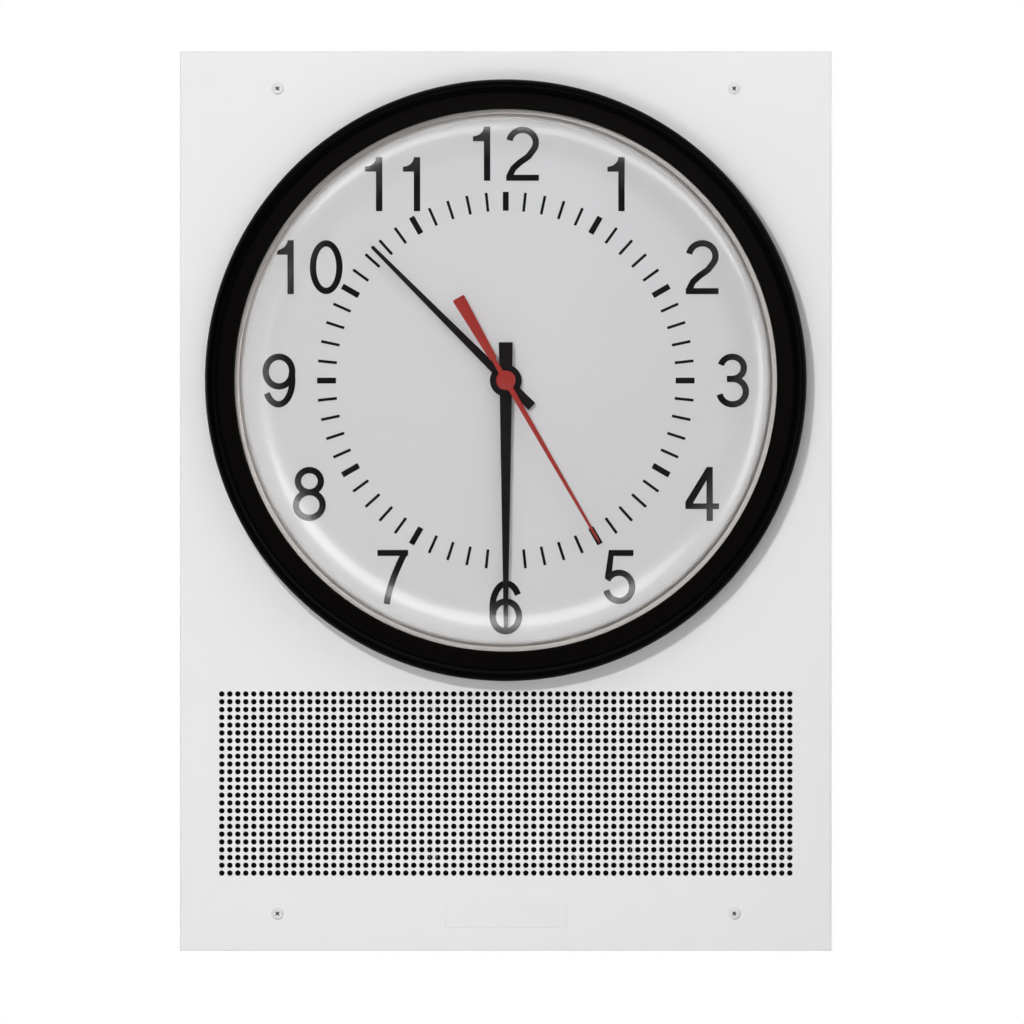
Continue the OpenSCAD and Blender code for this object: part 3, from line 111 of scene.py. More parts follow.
def addMath(tree, operation, *values):
    # The result of one operation on one to three numbers or links
    return addNode(tree, "ShaderNodeMath", dict(enumerate(values)), operation=operation).outputs[0]


def addRange(tree, value, before, after, step="LINEAR"):
    # The value carried from one range to another, each a pair, and held at its ends
    return addNode(tree, "ShaderNodeMapRange", {
        "Value": value, "From Min": before[0], "From Max": before[1], "To Min": after[0],
        "To Max": after[1]}, interpolation_type=step).outputs["Result"]


def makeWorld():
    # White all round: the ambient strength for matt surfaces, and for mirrors and the lens a darker room in
    # front that turns to white behind. The camera sees plain white
    world = bpy.data.worlds.new("studio")
    scene.world = world
    tree = freshTree(world)
    rays = addNode(tree, "ShaderNodeLightPath")
    where = addNode(tree, "ShaderNodeTexCoord")
    parts = addNode(tree, "ShaderNodeSeparateXYZ", {0: where.outputs["Generated"]})

    def towards(front):
        return addRange(tree, parts.outputs["Y"], room["behind"], (front, 1.0))

    shiny = addNode(tree, "ShaderNodeMix", {
        "Factor": rays.outputs["Is Glossy Ray"], "A": room["ambient"], "B": towards(room["mirrorFront"])})
    seen = addNode(tree, "ShaderNodeMix", {
        "Factor": rays.outputs["Is Transmission Ray"], "A": shiny.outputs["Result"], "B": towards(0.0)})
    strength = addNode(tree, "ShaderNodeMix", {
        "Factor": rays.outputs["Is Camera Ray"], "A": seen.outputs["Result"], "B": 1.0})
    light = addNode(tree, "ShaderNodeBackground", {
        "Color": (1, 1, 1, 1), "Strength": strength.outputs["Result"]})
    addOutput(tree, light.outputs[0], "ShaderNodeOutputWorld")


def makeFloor():
    # One pale square that shows from above only. The camera sees a glow added to its light and shadow
    half, low = room["floorSize"] / 2, -room["floorDown"]
    mesh = bpy.data.meshes.new("floor")
    mesh.from_pydata([(x, y, low) for x, y in (rectangle * half).tolist()], [], [(0, 1, 2, 3)])
    floor = bpy.data.objects.new("floor", mesh)
    scene.collection.objects.link(floor)
    look = bpy.data.materials.new("floor_paint")
    tree = freshTree(look)
    side = addNode(tree, "ShaderNodeNewGeometry")
    paint = addNode(tree, "ShaderNodeBsdfDiffuse", {"Color": room["floorColour"]})
    rays = addNode(tree, "ShaderNodeLightPath")
    seen = addMath(tree, "MULTIPLY", rays.outputs["Is Camera Ray"], room["floorGlow"])
    glow = addNode(tree, "ShaderNodeEmission", {"Strength": seen})
    pale = addNode(tree, "ShaderNodeAddShader", {0: paint.outputs[0], 1: glow.outputs[0]})
    clear = addNode(tree, "ShaderNodeBsdfTransparent")
    mix = addNode(tree, "ShaderNodeMixShader", {0: side.outputs["Backfacing"], 1: pale.outputs[0],
                                                2: clear.outputs[0]})
    addOutput(tree, mix.outputs[0])
    mesh.materials.append(look)


lamps = {
    # Place, size across and up in metres, radiance. shiny: whether a shiny surface shows the lamp.
    # fill: whether it lights matt surfaces. roll: degrees about the way it faces
    "key": {"place": (-0.36, -1.6, 0.5), "size": (0.1, 0.1), "radiance": 430.0, "disk": True},
    "front": {"place": (-0.1, -1.6, 0.55), "size": (0.7, 0.5), "radiance": 0.8},
    "top": {"place": (0.4, -0.55, 0.75), "size": (1.2, 0.2), "radiance": 2.7},
    "low": {"place": (-0.12, -1.6, -0.36), "size": (0.9, 0.28), "roll": -18, "radiance": 6.0},
    "left": {"place": (-0.9, -1.6, -0.1), "size": (0.4, 1.2), "radiance": 1.8, "shiny": True},
    "right": {"place": (0.9, -1.6, 0.4), "size": (0.4, 0.9), "radiance": 0.5},
    "sheenLow": {"place": (-0.18, -1.6, -0.73), "size": (2.3, 0.65), "roll": -14,
                 "radiance": 5.0, "shiny": True, "fill": False},
    "sheenHigh": {"place": (1.0, -1.0, 1.42), "size": (2.2, 0.5), "roll": -35,
                  "radiance": 4.6, "shiny": True, "fill": False},
    "sheenTop": {"place": (-0.75, -1.0, 1.6), "size": (1.6, 0.5), "roll": 25,
                 "radiance": 4.4, "shiny": True, "fill": False},
    "sheenRight": {"place": (1.73, -1.0, -0.2), "size": (0.5, 1.6), "roll": -7,
                   "radiance": 4.6, "shiny": True, "fill": False},
    "back": {"place": (1.2, 2.2, 1.0), "size": (1.2, 1.2), "radiance": 5.5, "shiny": True},
    "backLow": {"place": (-1.4, 1.8, 0.2), "size": (0.9, 0.9), "radiance": 3.0, "shiny": True},
}


def makeLamps():
    # Flat lamps that face the panel's middle
    target = Vector((0.0, 0.0, 0.0))
    for name, lamp in lamps.items():
        data = bpy.data.lights.new(name, "AREA")
        data.shape = "ELLIPSE" if lamp.get("disk") else "RECTANGLE"
        data.size, data.size_y = lamp["size"]
        area = data.size * data.size_y * (np.pi / 4 if lamp.get("disk") else 1)
        data.energy = lamp["radiance"] * np.pi * area    # a flat lamp's power is radiance x pi x area
        obj = bpy.data.objects.new(name, data)
        obj.location = lamp["place"]
        aim = (target - obj.location).to_track_quat("-Z", "Y")
        obj.rotation_euler = (aim @ Quaternion((0, 0, 1), np.radians(lamp.get("roll", 0)))).to_euler()
        obj.visible_camera = False
        obj.visible_glossy = bool(lamp.get("shiny"))
        obj.visible_diffuse = lamp.get("fill", True)
        obj.visible_transmission = False    # its light passes the lens once, by the shadow rays
        scene.collection.objects.link(obj)


makeWorld()
makeFloor()
makeLamps()
print("camera, floor and", len(lamps), "lamps placed")


def grainHeights(tree, coords, grain, detail=2.0):
    # A noise from 0 to 1 whose lumps are about one grain across, in mm
    return addNode(tree, "ShaderNodeTexNoise", {
        "Vector": coords, "Scale": 1000 / grain, "Detail": detail, "Roughness": 0.55}).outputs["Fac"]


looks = {}


def newLook(name):
    # A new material, kept under its name: its empty tree, and object coordinates for its patterns
    looks[name] = bpy.data.materials.new(name)
    tree = freshTree(looks[name])
    return tree, addNode(tree, "ShaderNodeTexCoord").outputs["Object"]


def addRamp(tree, share, low, high, start=0.0, end=1.0):
    # A colour that turns from low to high as the share goes from start to end
    ramp = addNode(tree, "ShaderNodeValToRGB", {"Fac": share})
    for stop, place, colour in zip(ramp.color_ramp.elements, (start, end), (low, high)):
        stop.position = place
        stop.color = (*colour, 1)
    return ramp.outputs["Color"]


def addMix(tree, share, first, second, kind="RGBA"):
    # first where the share is 0 and second where it is 1, colours or plain values
    pair = {"A": (*first, 1), "B": (*second, 1)} if kind == "RGBA" else {"A": first, "B": second}
    return addNode(tree, "ShaderNodeMix", {"Factor": share, **pair}, data_type=kind).outputs["Result"]


def addBump(tree, heights, high):
    # Heights from 0 to 1 as a relief, high in mm
    return addNode(tree, "ShaderNodeBump", {"Height": heights, "Distance": high * mm}).outputs["Normal"]


def addSkin(tree, colour, rough, normal, more):
    # The shared end of a material: colour, roughness, relief and any other socket by its name
    skin = addNode(tree, "ShaderNodeBsdfPrincipled", {
        "Base Color": colour, "Roughness": rough, "Normal": normal, **more})
    addOutput(tree, skin.outputs[0])


def shareByRadius(tree, coords, start, end, top=1.0):
    # A smooth step from 0 to top while the distance from the clock's axis goes from start to end, in mm
    laid = addNode(tree, "ShaderNodeMapping", {
        "Vector": coords, "Location": (0, 0, -clockUp * mm), "Scale": (1, 0, 1)})
    away = addNode(tree, "ShaderNodeVectorMath", {0: laid.outputs["Vector"]}, operation="LENGTH")
    return addRange(tree, away.outputs["Value"], (start * mm, end * mm), (0.0, top), "SMOOTHSTEP")


def makeLook(name, colour, rough, metal=0.0, shine=0.5, patch=6.0, spread=0.15, grain=0.4, bump=0.006,
             roughSpread=0.12, stretch=(1, 1, 1), tint=None):
    # Colour drifts between two shades in patches, the roughness follows a finer noise, and the grain's
    # height is a noise too: patch and grain are sizes in mm, bump is the grain's height in mm
    tree, coords = newLook(name)
    laid = addNode(tree, "ShaderNodeMapping", {"Vector": coords, "Scale": stretch}).outputs["Vector"]
    patches = addNode(tree, "ShaderNodeTexNoise", {"Vector": laid, "Scale": 1000 / patch, "Detail": 3.0})
    dark = [c * (1 - spread) for c in colour]
    bright = [min(1.0, c * (1 + spread)) for c in (tint or colour)]
    shade = addRamp(tree, patches.outputs["Fac"], dark, bright, 0.3, 0.7)
    fine = grainHeights(tree, laid, grain)
    roughs = (rough * (1 - roughSpread), min(1.0, rough * (1 + roughSpread)))
    addSkin(tree, shade, addRange(tree, fine, (0.25, 0.75), roughs), addBump(tree, fine, bump),
            {"Metallic": metal, "Specular IOR Level": shine})


# low: painted shade between the turns; high: painted highlight on their crests
wire = {"low": (0.3, 0.11, 0.04), "high": (0.72, 0.34, 0.16), "rough": 0.32, "radian": 0.35, "bump": 0.02}


def makeWound(name, axis):
    # Copper wire wound in turns across the axis: bands of two shades, smoother on their crests than
    # between them. The lighter shade on the crests is painted highlight and the darker one between the
    # turns painted shade. The wave is sin(20 x scale), so that it turns by one radian in the length radian,
    # in mm
    tree, coords = newLook(name)
    bands = addNode(tree, "ShaderNodeTexWave", {
        "Vector": coords, "Scale": 1000 / wire["radian"] / 20, "Distortion": 0.4, "Detail": 1.0},
        wave_type="BANDS", bands_direction=axis).outputs["Fac"]
    gloss = addRange(tree, bands, (0.0, 1.0), (wire["rough"] * 1.25, wire["rough"] * 0.85))
    addSkin(tree, addRamp(tree, bands, wire["low"], wire["high"]), gloss,
            addBump(tree, bands, wire["bump"]), {"Metallic": 1.0})


def makeGauze(name, wire, gapShade, rough, period, bump=0.04):
    # Crossed sine waves in x and z: where both are low lie the gauze's openings, painted in a darker colour
    # as painted shade, else it is wire
    tree, coords = newLook(name)
    parts = addNode(tree, "ShaderNodeSeparateXYZ", {0: coords})
    turns = [addMath(tree, "MULTIPLY", parts.outputs[axis], 2 * np.pi * 1000 / period) for axis in "XZ"]
    weave = addMath(tree, "MAXIMUM", *[addMath(tree, "SINE", turn) for turn in turns])
    fill = addRange(tree, weave, (-0.4, 0.6), (0.0, 1.0))
    addSkin(tree, addRamp(tree, fill, gapShade, wire), rough, addBump(tree, weave, bump),
            {"Specular IOR Level": 0.06})


def makeBezelLook(name, roll, band, edge, fade):
    # Gloss black on the outer roll and satin black on the inner band, which turn into each other round
    # a circle: edge is its radius and fade half the width of the turn. Each finish is a colour, a
    # roughness and a grain height in mm
    tree, coords = newLook(name)
    share = shareByRadius(tree, coords, edge - fade, edge + fade)
    fine = grainHeights(tree, coords, 0.8)
    gloss = addMath(tree, "MULTIPLY_ADD", fine, 0.12, addMix(tree, share, band[1], roll[1], "FLOAT"))
    grain = addMath(tree, "MULTIPLY", fine, addMix(tree, share, band[2], roll[2], "FLOAT"))
    addSkin(tree, addMix(tree, share, band[0], roll[0]), gloss, addBump(tree, grain, 1),
            {"Specular IOR Level": 0.026})


def makeScrewLook(name, colour, rough, cross):
    # Painted screw heads that stand alike in the four corners: abs(x) and abs(z) bring them onto one,
    # and painted shade darkens the paint where a point lies in the cross recess, two bars of a width and a
    # reach in mm
    tree, coords = newLook(name)
    folded = addNode(tree, "ShaderNodeVectorMath", {0: coords}, operation="ABSOLUTE")
    laid = addNode(tree, "ShaderNodeMapping", {
        "Vector": folded.outputs["Vector"], "Location": (-cross["x"] * mm, 0, -cross["z"] * mm)})
    slanted = addNode(tree, "ShaderNodeVectorRotate", {
        "Vector": laid.outputs["Vector"], "Angle": np.pi / 4}, rotation_type="Y_AXIS")
    upright = addNode(tree, "ShaderNodeVectorMath", {0: slanted.outputs["Vector"]}, operation="ABSOLUTE")
    parts = addNode(tree, "ShaderNodeSeparateXYZ", {0: upright.outputs["Vector"]})
    inside = []
    for choice, limit in (("MINIMUM", cross["half"]), ("MAXIMUM", cross["reach"])):
        value = addMath(tree, choice, parts.outputs["X"], parts.outputs["Z"])
        edge = (limit * mm, (limit + cross["soft"]) * mm)
        inside.append(addRange(tree, value, edge, (1.0, 0.0)))
    # painted shade: the cross recess is coloured dark for the shade that falls in it
    paint = addMix(tree, addMath(tree, "MULTIPLY", *inside), colour, cross["colour"])
    fine = grainHeights(tree, coords, 0.5)
    gloss = addRange(tree, fine, (0.0, 1.0), (rough * 0.8, rough * 1.2))
    addSkin(tree, paint, gloss, addBump(tree, fine, 0.01), {"Specular IOR Level": 0.4})


def makeClear(name, colour, index, shine, sheen, frostAndEdgeShade, ripple):
    # Clear moulding, sharp to look through, with a faint long ripple of a length and a height in mm. Its
    # curved border has a soft sheen, and its edge is a little frosted in a pale brown that paints in the
    # shaded line along the lens wall, both by the distance from the clock's axis. Shadow rays pass straight
    # on
    tree, coords = newLook(name)
    shares = [shareByRadius(tree, coords, at["from"], at["to"], at["share"]) for at in (sheen, frostAndEdgeShade)]
    through = addMath(tree, "SUBTRACT", 1.0, shares[1])
    normal = addBump(tree, grainHeights(tree, coords, ripple[0], 1.0), ripple[1])
    skin = addNode(tree, "ShaderNodeBsdfPrincipled", {
        # painted shade: near the edge part of the clear becomes pale brown, for the shaded line along the
        # lens wall
        "Base Color": addMix(tree, shares[1], colour, frostAndEdgeShade["colour"]), "Roughness": 0.0, "IOR": index,
        "Transmission Weight": through, "Specular Tint": (shine, shine, shine, 1),
        "Coat Weight": shares[0], "Coat Roughness": sheen["rough"],
        "Normal": normal, "Coat Normal": normal})
    rays = addNode(tree, "ShaderNodeLightPath")
    clear = addNode(tree, "ShaderNodeBsdfTransparent", {"Color": (0.97, 0.97, 0.97, 1)})
    mix = addNode(tree, "ShaderNodeMixShader", {
        0: rays.outputs["Is Shadow Ray"], 1: skin.outputs[0], 2: clear.outputs[0]})
    addOutput(tree, mix.outputs[0])


# a name, a colour and a roughness, then what differs from the maker's own values
makeLook("panel_paint", (0.86, 0.86, 0.865), 0.5, shine=0.3, patch=90, spread=0.004, grain=1.6,
         bump=0.008, roughSpread=0.06)
makeLook("zinc", (0.62, 0.63, 0.65), 0.34, metal=1.0, patch=7, spread=0.12, grain=0.5, bump=0.004,
         tint=(0.66, 0.68, 0.66), roughSpread=0.25)
makeLook("sheet_zinc", (0.6, 0.61, 0.63), 0.38, metal=1.0, patch=12, grain=2.5, roughSpread=0.35,
         tint=(0.66, 0.67, 0.68))
makeBezelLook("bezel_black", ((0.0004, 0.0004, 0.0004), 0.3, 0.001),
              ((0.0017, 0.0013, 0.0011), 0.42, 0.003), edge=162.4, fade=0.5)
# the cross's dark colour is painted shade for its recess
makeScrewLook("screw_paint_and_shade", (0.79, 0.79, 0.8), 0.35, {
    "x": 129.0, "z": 233.0, "half": 0.3, "reach": 1.25, "soft": 0.12, "colour": (0.03, 0.03, 0.03)})
makeLook("case_black", (0.026, 0.026, 0.027), 0.55, shine=0.4, patch=25, grain=0.6, bump=0.012)
makeLook("dial_paint", (0.725, 0.725, 0.735), 0.62, shine=0.03, patch=70, spread=0.006, grain=0.9,
         bump=0.003)
makeLook("print_ink", (0.004, 0.004, 0.004), 0.6, shine=0.12, patch=8, bump=0.003)
makeLook("hand_black", (0.008, 0.006, 0.0065), 0.3, shine=0.3, patch=10, bump=0.002)
makeLook("hand_red", (0.34, 0.019, 0.013), 0.4, shine=0.4, patch=14, spread=0.06, grain=0.5, bump=0.002)
makeLook("white_moulding", (0.75, 0.74, 0.7), 0.45, patch=15, spread=0.03, bump=0.004)
makeLook("brass", (0.74, 0.53, 0.22), 0.3, metal=1.0, patch=5, spread=0.1, grain=0.3, bump=0.002,
         tint=(0.78, 0.6, 0.3))
makeLook("black_rubber", (0.022, 0.022, 0.022), 0.72, shine=0.3, spread=0.2, bump=0.01,
         tint=(0.03, 0.029, 0.028))
makeLook("pale_rubber", (0.45, 0.42, 0.38), 0.7, shine=0.3, spread=0.08, bump=0.008)
makeLook("core_iron", (0.42, 0.42, 0.43), 0.42, metal=1.0, patch=3, spread=0.12, grain=0.35, bump=0.004,
         stretch=(1, 6, 1))
makeWound("copper_wire", "X")
makeWound("coil_copper", "Y")
makeLook("board", (0.012, 0.11, 0.045), 0.3, patch=9, spread=0.2, grain=1.4, bump=0.01,
         tint=(0.02, 0.16, 0.06), roughSpread=0.3)
makeLook("dark_parts", (0.03, 0.03, 0.031), 0.5, spread=0.2, grain=0.35)
makeLook("ferrite", (0.05, 0.05, 0.054), 0.6, patch=4, spread=0.3, grain=0.3, bump=0.015, roughSpread=0.3)
makeLook("speaker_steel", (0.03, 0.03, 0.032), 0.36, patch=18, spread=0.2, grain=1.1)
makeLook("cone_paper", (0.03, 0.03, 0.032), 0.85, shine=0.2, patch=2.5, spread=0.4, grain=0.5, bump=0.05,
         stretch=(1, 1, 2.2))
# the second colour of each gauze is painted shade for the openings between its wires
makeGauze("woven_cloth", (0.5, 0.33, 0.11), (0.16, 0.09, 0.03), 0.8, 0.7)
# painted shade: the studs seen through the grille holes are near black, so those holes look as dark as the
# shade behind the rest
makeLook("studs_black_as_shade", (0.0025, 0.0025, 0.0025), 0.8, shine=0.06, patch=10, spread=0.1, grain=0.6,
         bump=0.004)
makeGauze("black_gauze", (0.0012, 0.0012, 0.0012), (0.0003, 0.0003, 0.0003), 0.8, 0.55)
makeLook("button_red", (0.5, 0.035, 0.03), 0.4, patch=3, spread=0.08, grain=0.3, bump=0.004)
makeLook("lamp_green", (0.3, 0.7, 0.3), 0.15, shine=0.6, patch=2, spread=0.1, grain=0.5, bump=0.002,
         tint=(0.45, 0.85, 0.42))
makeLook("terminal_green", (0.04, 0.26, 0.11), 0.45, spread=0.1, bump=0.005)
makeLook("lead_white", (0.7, 0.7, 0.68), 0.5, patch=10, spread=0.05, grain=0.5)
makeClear("lens_clear", (0.99, 0.99, 0.99), index=1.49, shine=0.15,
          sheen={"from": 122.0, "to": 135.0, "share": 1.0, "rough": 0.28},
          # the pale brown edge is partly frost and partly painted shade for the line along the lens wall
          frostAndEdgeShade={"from": 146.8, "to": 149.0, "share": 0.6, "colour": (0.62, 0.56, 0.52)},
          ripple=(90.0, 0.02))
print(len(looks), "materials made")

nodesByLook = {
    "panel_paint": ["face_panel"], "screw_paint_and_shade": ["panel_screws"], "studs_black_as_shade": ["panel_studs"],
    "zinc": ["stud_nuts", "clock_screws", "movement_screws", "speaker_yoke", "speaker_top_plate",
             "cover_screws"],
    "black_gauze": ["dust_screen"], "case_black": ["clock_case", "case_flange", "lead_clips"],
    "bezel_black": ["clock_bezel"], "lens_clear": ["lens"], "pale_rubber": ["lens_gasket"],
    "white_moulding": ["dial_ring", "movement_front", "movement_rear", "motion_wheel", "minute_reducer",
                       "second_reducer", "clock_plug", "speaker_terminals"],
    "dial_paint": ["dial_plate"], "print_ink": ["dial_numerals", "minute_track"],
    "hand_black": ["hour_hand", "minute_hand"], "hand_red": ["second_hand"],
    "brass": ["movement_nut", "hour_wheel", "minute_arbor", "second_arbor"],
    "black_rubber": ["seat_washer", "speaker_gasket", "speaker_surround", "speaker_lead", "grommets"],
    "ferrite": ["minute_rotor", "second_rotor", "speaker_magnet"],
    "core_iron": ["stators", "network_jack"], "copper_wire": ["coils"],
    "board": ["movement_board", "network_board"], "dark_parts": ["movement_parts", "board_parts"],
    "speaker_steel": ["speaker_frame"], "cone_paper": ["speaker_cone", "dust_cap"],
    "coil_copper": ["voice_coil"], "woven_cloth": ["speaker_spider"],
    "sheet_zinc": ["network_box", "network_cover"], "terminal_green": ["terminal_block"],
    "button_red": ["reset_button"], "lamp_green": ["status_lamps"], "lead_white": ["clock_lead"],
}
for look, names in nodesByLook.items():
    for name in names:
        nodes[name].data.materials.clear()
        nodes[name].data.materials.append(looks[look])
print("CAD nodes painted")


def inRoom(x, h, z):
    # Points x to the right, h in front of the wall and z up, from mm to metres
    return np.stack(np.broadcast_arrays(x, -np.asarray(h, float), z), -1).reshape(-1, 3) * mm


def quadGrid(rows, cols, closeRows=False, closeCols=True):
    # Four corners of each cell of a grid, its points numbered row by row. A closed side joins its start
    i = np.arange(rows if closeRows else rows - 1)[:, None]
    j = np.arange(cols if closeCols else cols - 1)[None, :]
    nextI, nextJ = (i + 1) % rows, (j + 1) % cols
    cell = [i * cols + j, i * cols + nextJ, nextI * cols + nextJ, nextI * cols + j]
    return np.stack(cell, -1).reshape(-1, 4)


def arc(cx, cy, rx, ry, start, end, steps):
    # Points on an ellipse about (cx, cy) from one angle to another, in degrees
    a = np.radians(np.linspace(start, end, steps + 1))
    return np.stack([cx + rx * np.cos(a), cy + ry * np.sin(a)], 1)


def turned(profile, count, x0=0.0, z0=clockUp, closed=True):
    # Each profile point (radius, height) carried round an axis that points out of the wall:
    # x = x0 + radius cos a, z = z0 + radius sin a
    a = np.arange(count) * 2 * np.pi / count
    r, h = profile[:, :1], profile[:, 1:]
    points = inRoom(x0 + r * np.cos(a), h, z0 + r * np.sin(a))
    return points, [quadGrid(len(profile), count, closeRows=closed)]


def joined(parts):
    # Several (points, faces) as one
    shift = np.cumsum([0] + [len(points) for points, faces in parts[:-1]])
    return (np.concatenate([points for points, faces in parts]),
            [face + s for s, (points, faces) in zip(shift, parts) for face in faces])


def addPiece(name, shape, look, stands, slotName, body="housing", sharp=30):
    # The shape as a mesh whose near points are joined and whose faces look outwards, smooth but for edges
    # over the sharp angle, with its material, its body and the nodes that it stands for
    points, faces = shape
    mesh = bpy.data.meshes.new(name)
    mesh.vertices.add(len(points))
    mesh.vertices.foreach_set("co", points.astype(np.float32).ravel())
    corners = np.concatenate([face.ravel() for face in faces]).astype(np.int32)
    sizes = np.concatenate([np.full(len(face), face.shape[1]) for face in faces])
    mesh.loops.add(len(corners))
    mesh.loops.foreach_set("vertex_index", corners)
    mesh.polygons.add(len(sizes))
    mesh.polygons.foreach_set("loop_start", np.concatenate([[0], np.cumsum(sizes)[:-1]]).astype(np.int32))
    mesh.update(calc_edges=True)
    work = bmesh.new()
    work.from_mesh(mesh)
    bmesh.ops.remove_doubles(work, verts=work.verts, dist=joinWithin)
    bmesh.ops.dissolve_degenerate(work, edges=work.edges, dist=joinWithin / 2)
    bmesh.ops.recalc_face_normals(work, faces=work.faces)
    work.to_mesh(mesh)
    work.free()
    mesh.shade_smooth()
    mesh.set_sharp_from_angle(angle=np.radians(sharp))
    mesh.materials.append(looks[look])
    obj = bpy.data.objects.new(name, mesh)
    scene.collection.objects.link(obj)
    if body:
        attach(obj, body)
    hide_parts(*stands)
    return obj


panel = {
    "width": 368.0, "height": 508.0, "edge": 0.4,
    "cutOut": 157.0, "cutOutSteps": 240,
    "screwSpan": (258.0, 466.0), "screwHole": 2.4, "screwSteps": 24,
    "headScrews": 6, "headScrewRing": 162.0, "headScrewHole": 1.9, "headScrewSteps": 16,
    "columns": 72, "rows": 24, "pitch": (4.52, 4.4), "hole": 1.6, "lip": 0.05, "grilleDown": 159.6,
    # the embossed field: its slope's width, and the shares of width and rise at which the slope bends
    "field": (69.0, 14.0), "fieldDown": 234.0, "fieldRise": 0.3, "fieldSlope": 0.5,
    "fieldBend": (0.35, 0.62),
}


def circlePoints(x, z, r, steps):
    # (x + r cos a, z + r sin a) at equal steps of a
    a = np.arange(steps) * 2 * np.pi / steps
    return np.stack([x + r * np.cos(a), z + r * np.sin(a)], 1)


def wall(outline, heights):
    # The same closed outline at each height, joined by straight faces
    rows = np.array(heights, float)[:, None]
    return inRoom(outline[:, 0][None], rows, outline[:, 1][None]), [quadGrid(len(rows), len(outline))]


def clearOf(holes, c):
    # Whether each point is further from every hole's middle than the middle of one of that hole's sides
    free = np.ones(len(c), bool)
    for hole in holes:
        middle = hole.mean(0)
        side = (hole[0] + hole[1]) / 2 - middle
        free &= np.hypot(*(c - middle).T) > np.hypot(*side)
    return free


def screwPlaces():
    spanX, spanZ = panel["screwSpan"]
    return [(sx * spanX / 2, sz * spanZ / 2) for sx, sz in fourCorners]


def headScrewPlaces():
    # (x, z) of the clock head's screws, equally spaced on a ring and half a step off the right
    turns = np.radians((np.arange(panel["headScrews"]) + 0.5) * 360 / panel["headScrews"])
    ring = panel["headScrewRing"]
    return [(ring * np.cos(t), clockUp + ring * np.sin(t)) for t in turns]


def plateOutlines():
    # Closed outlines of the flat plate round the grille: its edge, the grille's border, and the holes
    p = panel
    edge = rectangle * [p["width"] / 2 - p["edge"], p["height"] / 2 - p["edge"]]
    fieldX = (np.arange(p["columns"] + 1) - p["columns"] / 2) * p["pitch"][0]
    fieldZ = (np.arange(p["rows"] + 1) - p["rows"] / 2) * p["pitch"][1] - p["grilleDown"]
    border = np.concatenate([
        np.stack([fieldX[:-1], np.full(len(fieldX) - 1, fieldZ[0])], 1),
        np.stack([np.full(len(fieldZ) - 1, fieldX[-1]), fieldZ[:-1]], 1),
        np.stack([fieldX[:0:-1], np.full(len(fieldX) - 1, fieldZ[-1])], 1),
        np.stack([np.full(len(fieldZ) - 1, fieldX[0]), fieldZ[:0:-1]], 1)])
    holes = [circlePoints(0, clockUp, p["cutOut"], p["cutOutSteps"])]
    holes += [circlePoints(x, z, p["screwHole"], p["screwSteps"]) for x, z in screwPlaces()]
    holes += [circlePoints(x, z, p["headScrewHole"], p["headScrewSteps"]) for x, z in headScrewPlaces()]
    return edge, border, holes


def flatFill(outlines, inside):
    # Delaunay triangles between closed outlines, kept where inside() holds at their middles
    points = np.concatenate(outlines)
    starts = np.cumsum([0] + [len(o) for o in outlines[:-1]])
    edges = np.concatenate([np.stack([np.arange(len(o)), (np.arange(len(o)) + 1) % len(o)], 1) + s
                            for o, s in zip(outlines, starts)])
    vectors = [Vector(p) for p in points.tolist()]
    everywhere, near = 0, 1e-7    # all triangles are wanted, and points this near are one
    flat, _, faces, _, _, _ = delaunay_2d_cdt(vectors, edges.tolist(), [], everywhere, near)
    flat = np.array([tuple(v) for v in flat])
    faces = np.array([tuple(f) for f in faces if len(f) == 3])
    return flat, faces[inside(flat[faces].mean(1))]


def makePanel():
    # Flat faces in front and behind round all holes, then what joins them, the field and the grille
    p = panel
    edge, border, holes = plateOutlines()
    lowX, highX = border[:, 0].min(), border[:, 0].max()
    lowZ, highZ = border[:, 1].min(), border[:, 1].max()
    halfF = np.array(p["field"]) / 2
    fieldLine = rectangle * halfF - [0, p["fieldDown"]]

    def onPlate(c):
        free = (abs(c[:, 0]) < p["width"] / 2) & (abs(c[:, 1]) < p["height"] / 2)
        free &= ~((c[:, 0] > lowX) & (c[:, 0] < highX) & (c[:, 1] > lowZ) & (c[:, 1] < highZ))
        return free & clearOf(holes, c)

    def onFront(c):
        return onPlate(c) & ~((abs(c[:, 0]) < halfF[0]) & (abs(c[:, 1] + p["fieldDown"]) < halfF[1]))

    front, frontFaces = flatFill([edge, border, *holes, fieldLine], onFront)
    back, backFaces = flatFill([edge, border, *holes], onPlate)
    parts = [(inRoom(front[:, 0], panelFront, front[:, 1]), [frontFaces]),
             (inRoom(back[:, 0], 0.0, back[:, 1]), [backFaces])]

    # The outer edge: the same rectangle at each step of (height, how far it is drawn in)
    e = p["edge"]
    steps = np.array([[panelFront, e], [panelFront - e, 0], [e, 0], [0, e]])
    x = rectangle[:, 0] * (p["width"] / 2 - steps[:, 1:])
    z = rectangle[:, 1] * (p["height"] / 2 - steps[:, 1:])
    parts.append((inRoom(x, steps[:, :1], z), [quadGrid(len(steps), len(rectangle))]))
    parts += [wall(hole, (panelFront, 0.0)) for hole in holes]
    # The embossed field: its outline drawn in over the slope, then one flat face
    drawn = np.array([[0.0, 0.0], p["fieldBend"], [1.0, 1.0]]) * [p["fieldSlope"], p["fieldRise"]]
    x = rectangle[:, 0] * (halfF[0] - drawn[:, :1])
    z = rectangle[:, 1] * (halfF[1] - drawn[:, :1]) - p["fieldDown"]
    top = np.array([[8, 9, 10, 11]])    # the last row's four points
    parts.append((inRoom(x, panelFront + drawn[:, 1:], z), [quadGrid(len(drawn), len(rectangle)), top]))
    parts.append(grilleCells())
    return joined(parts)


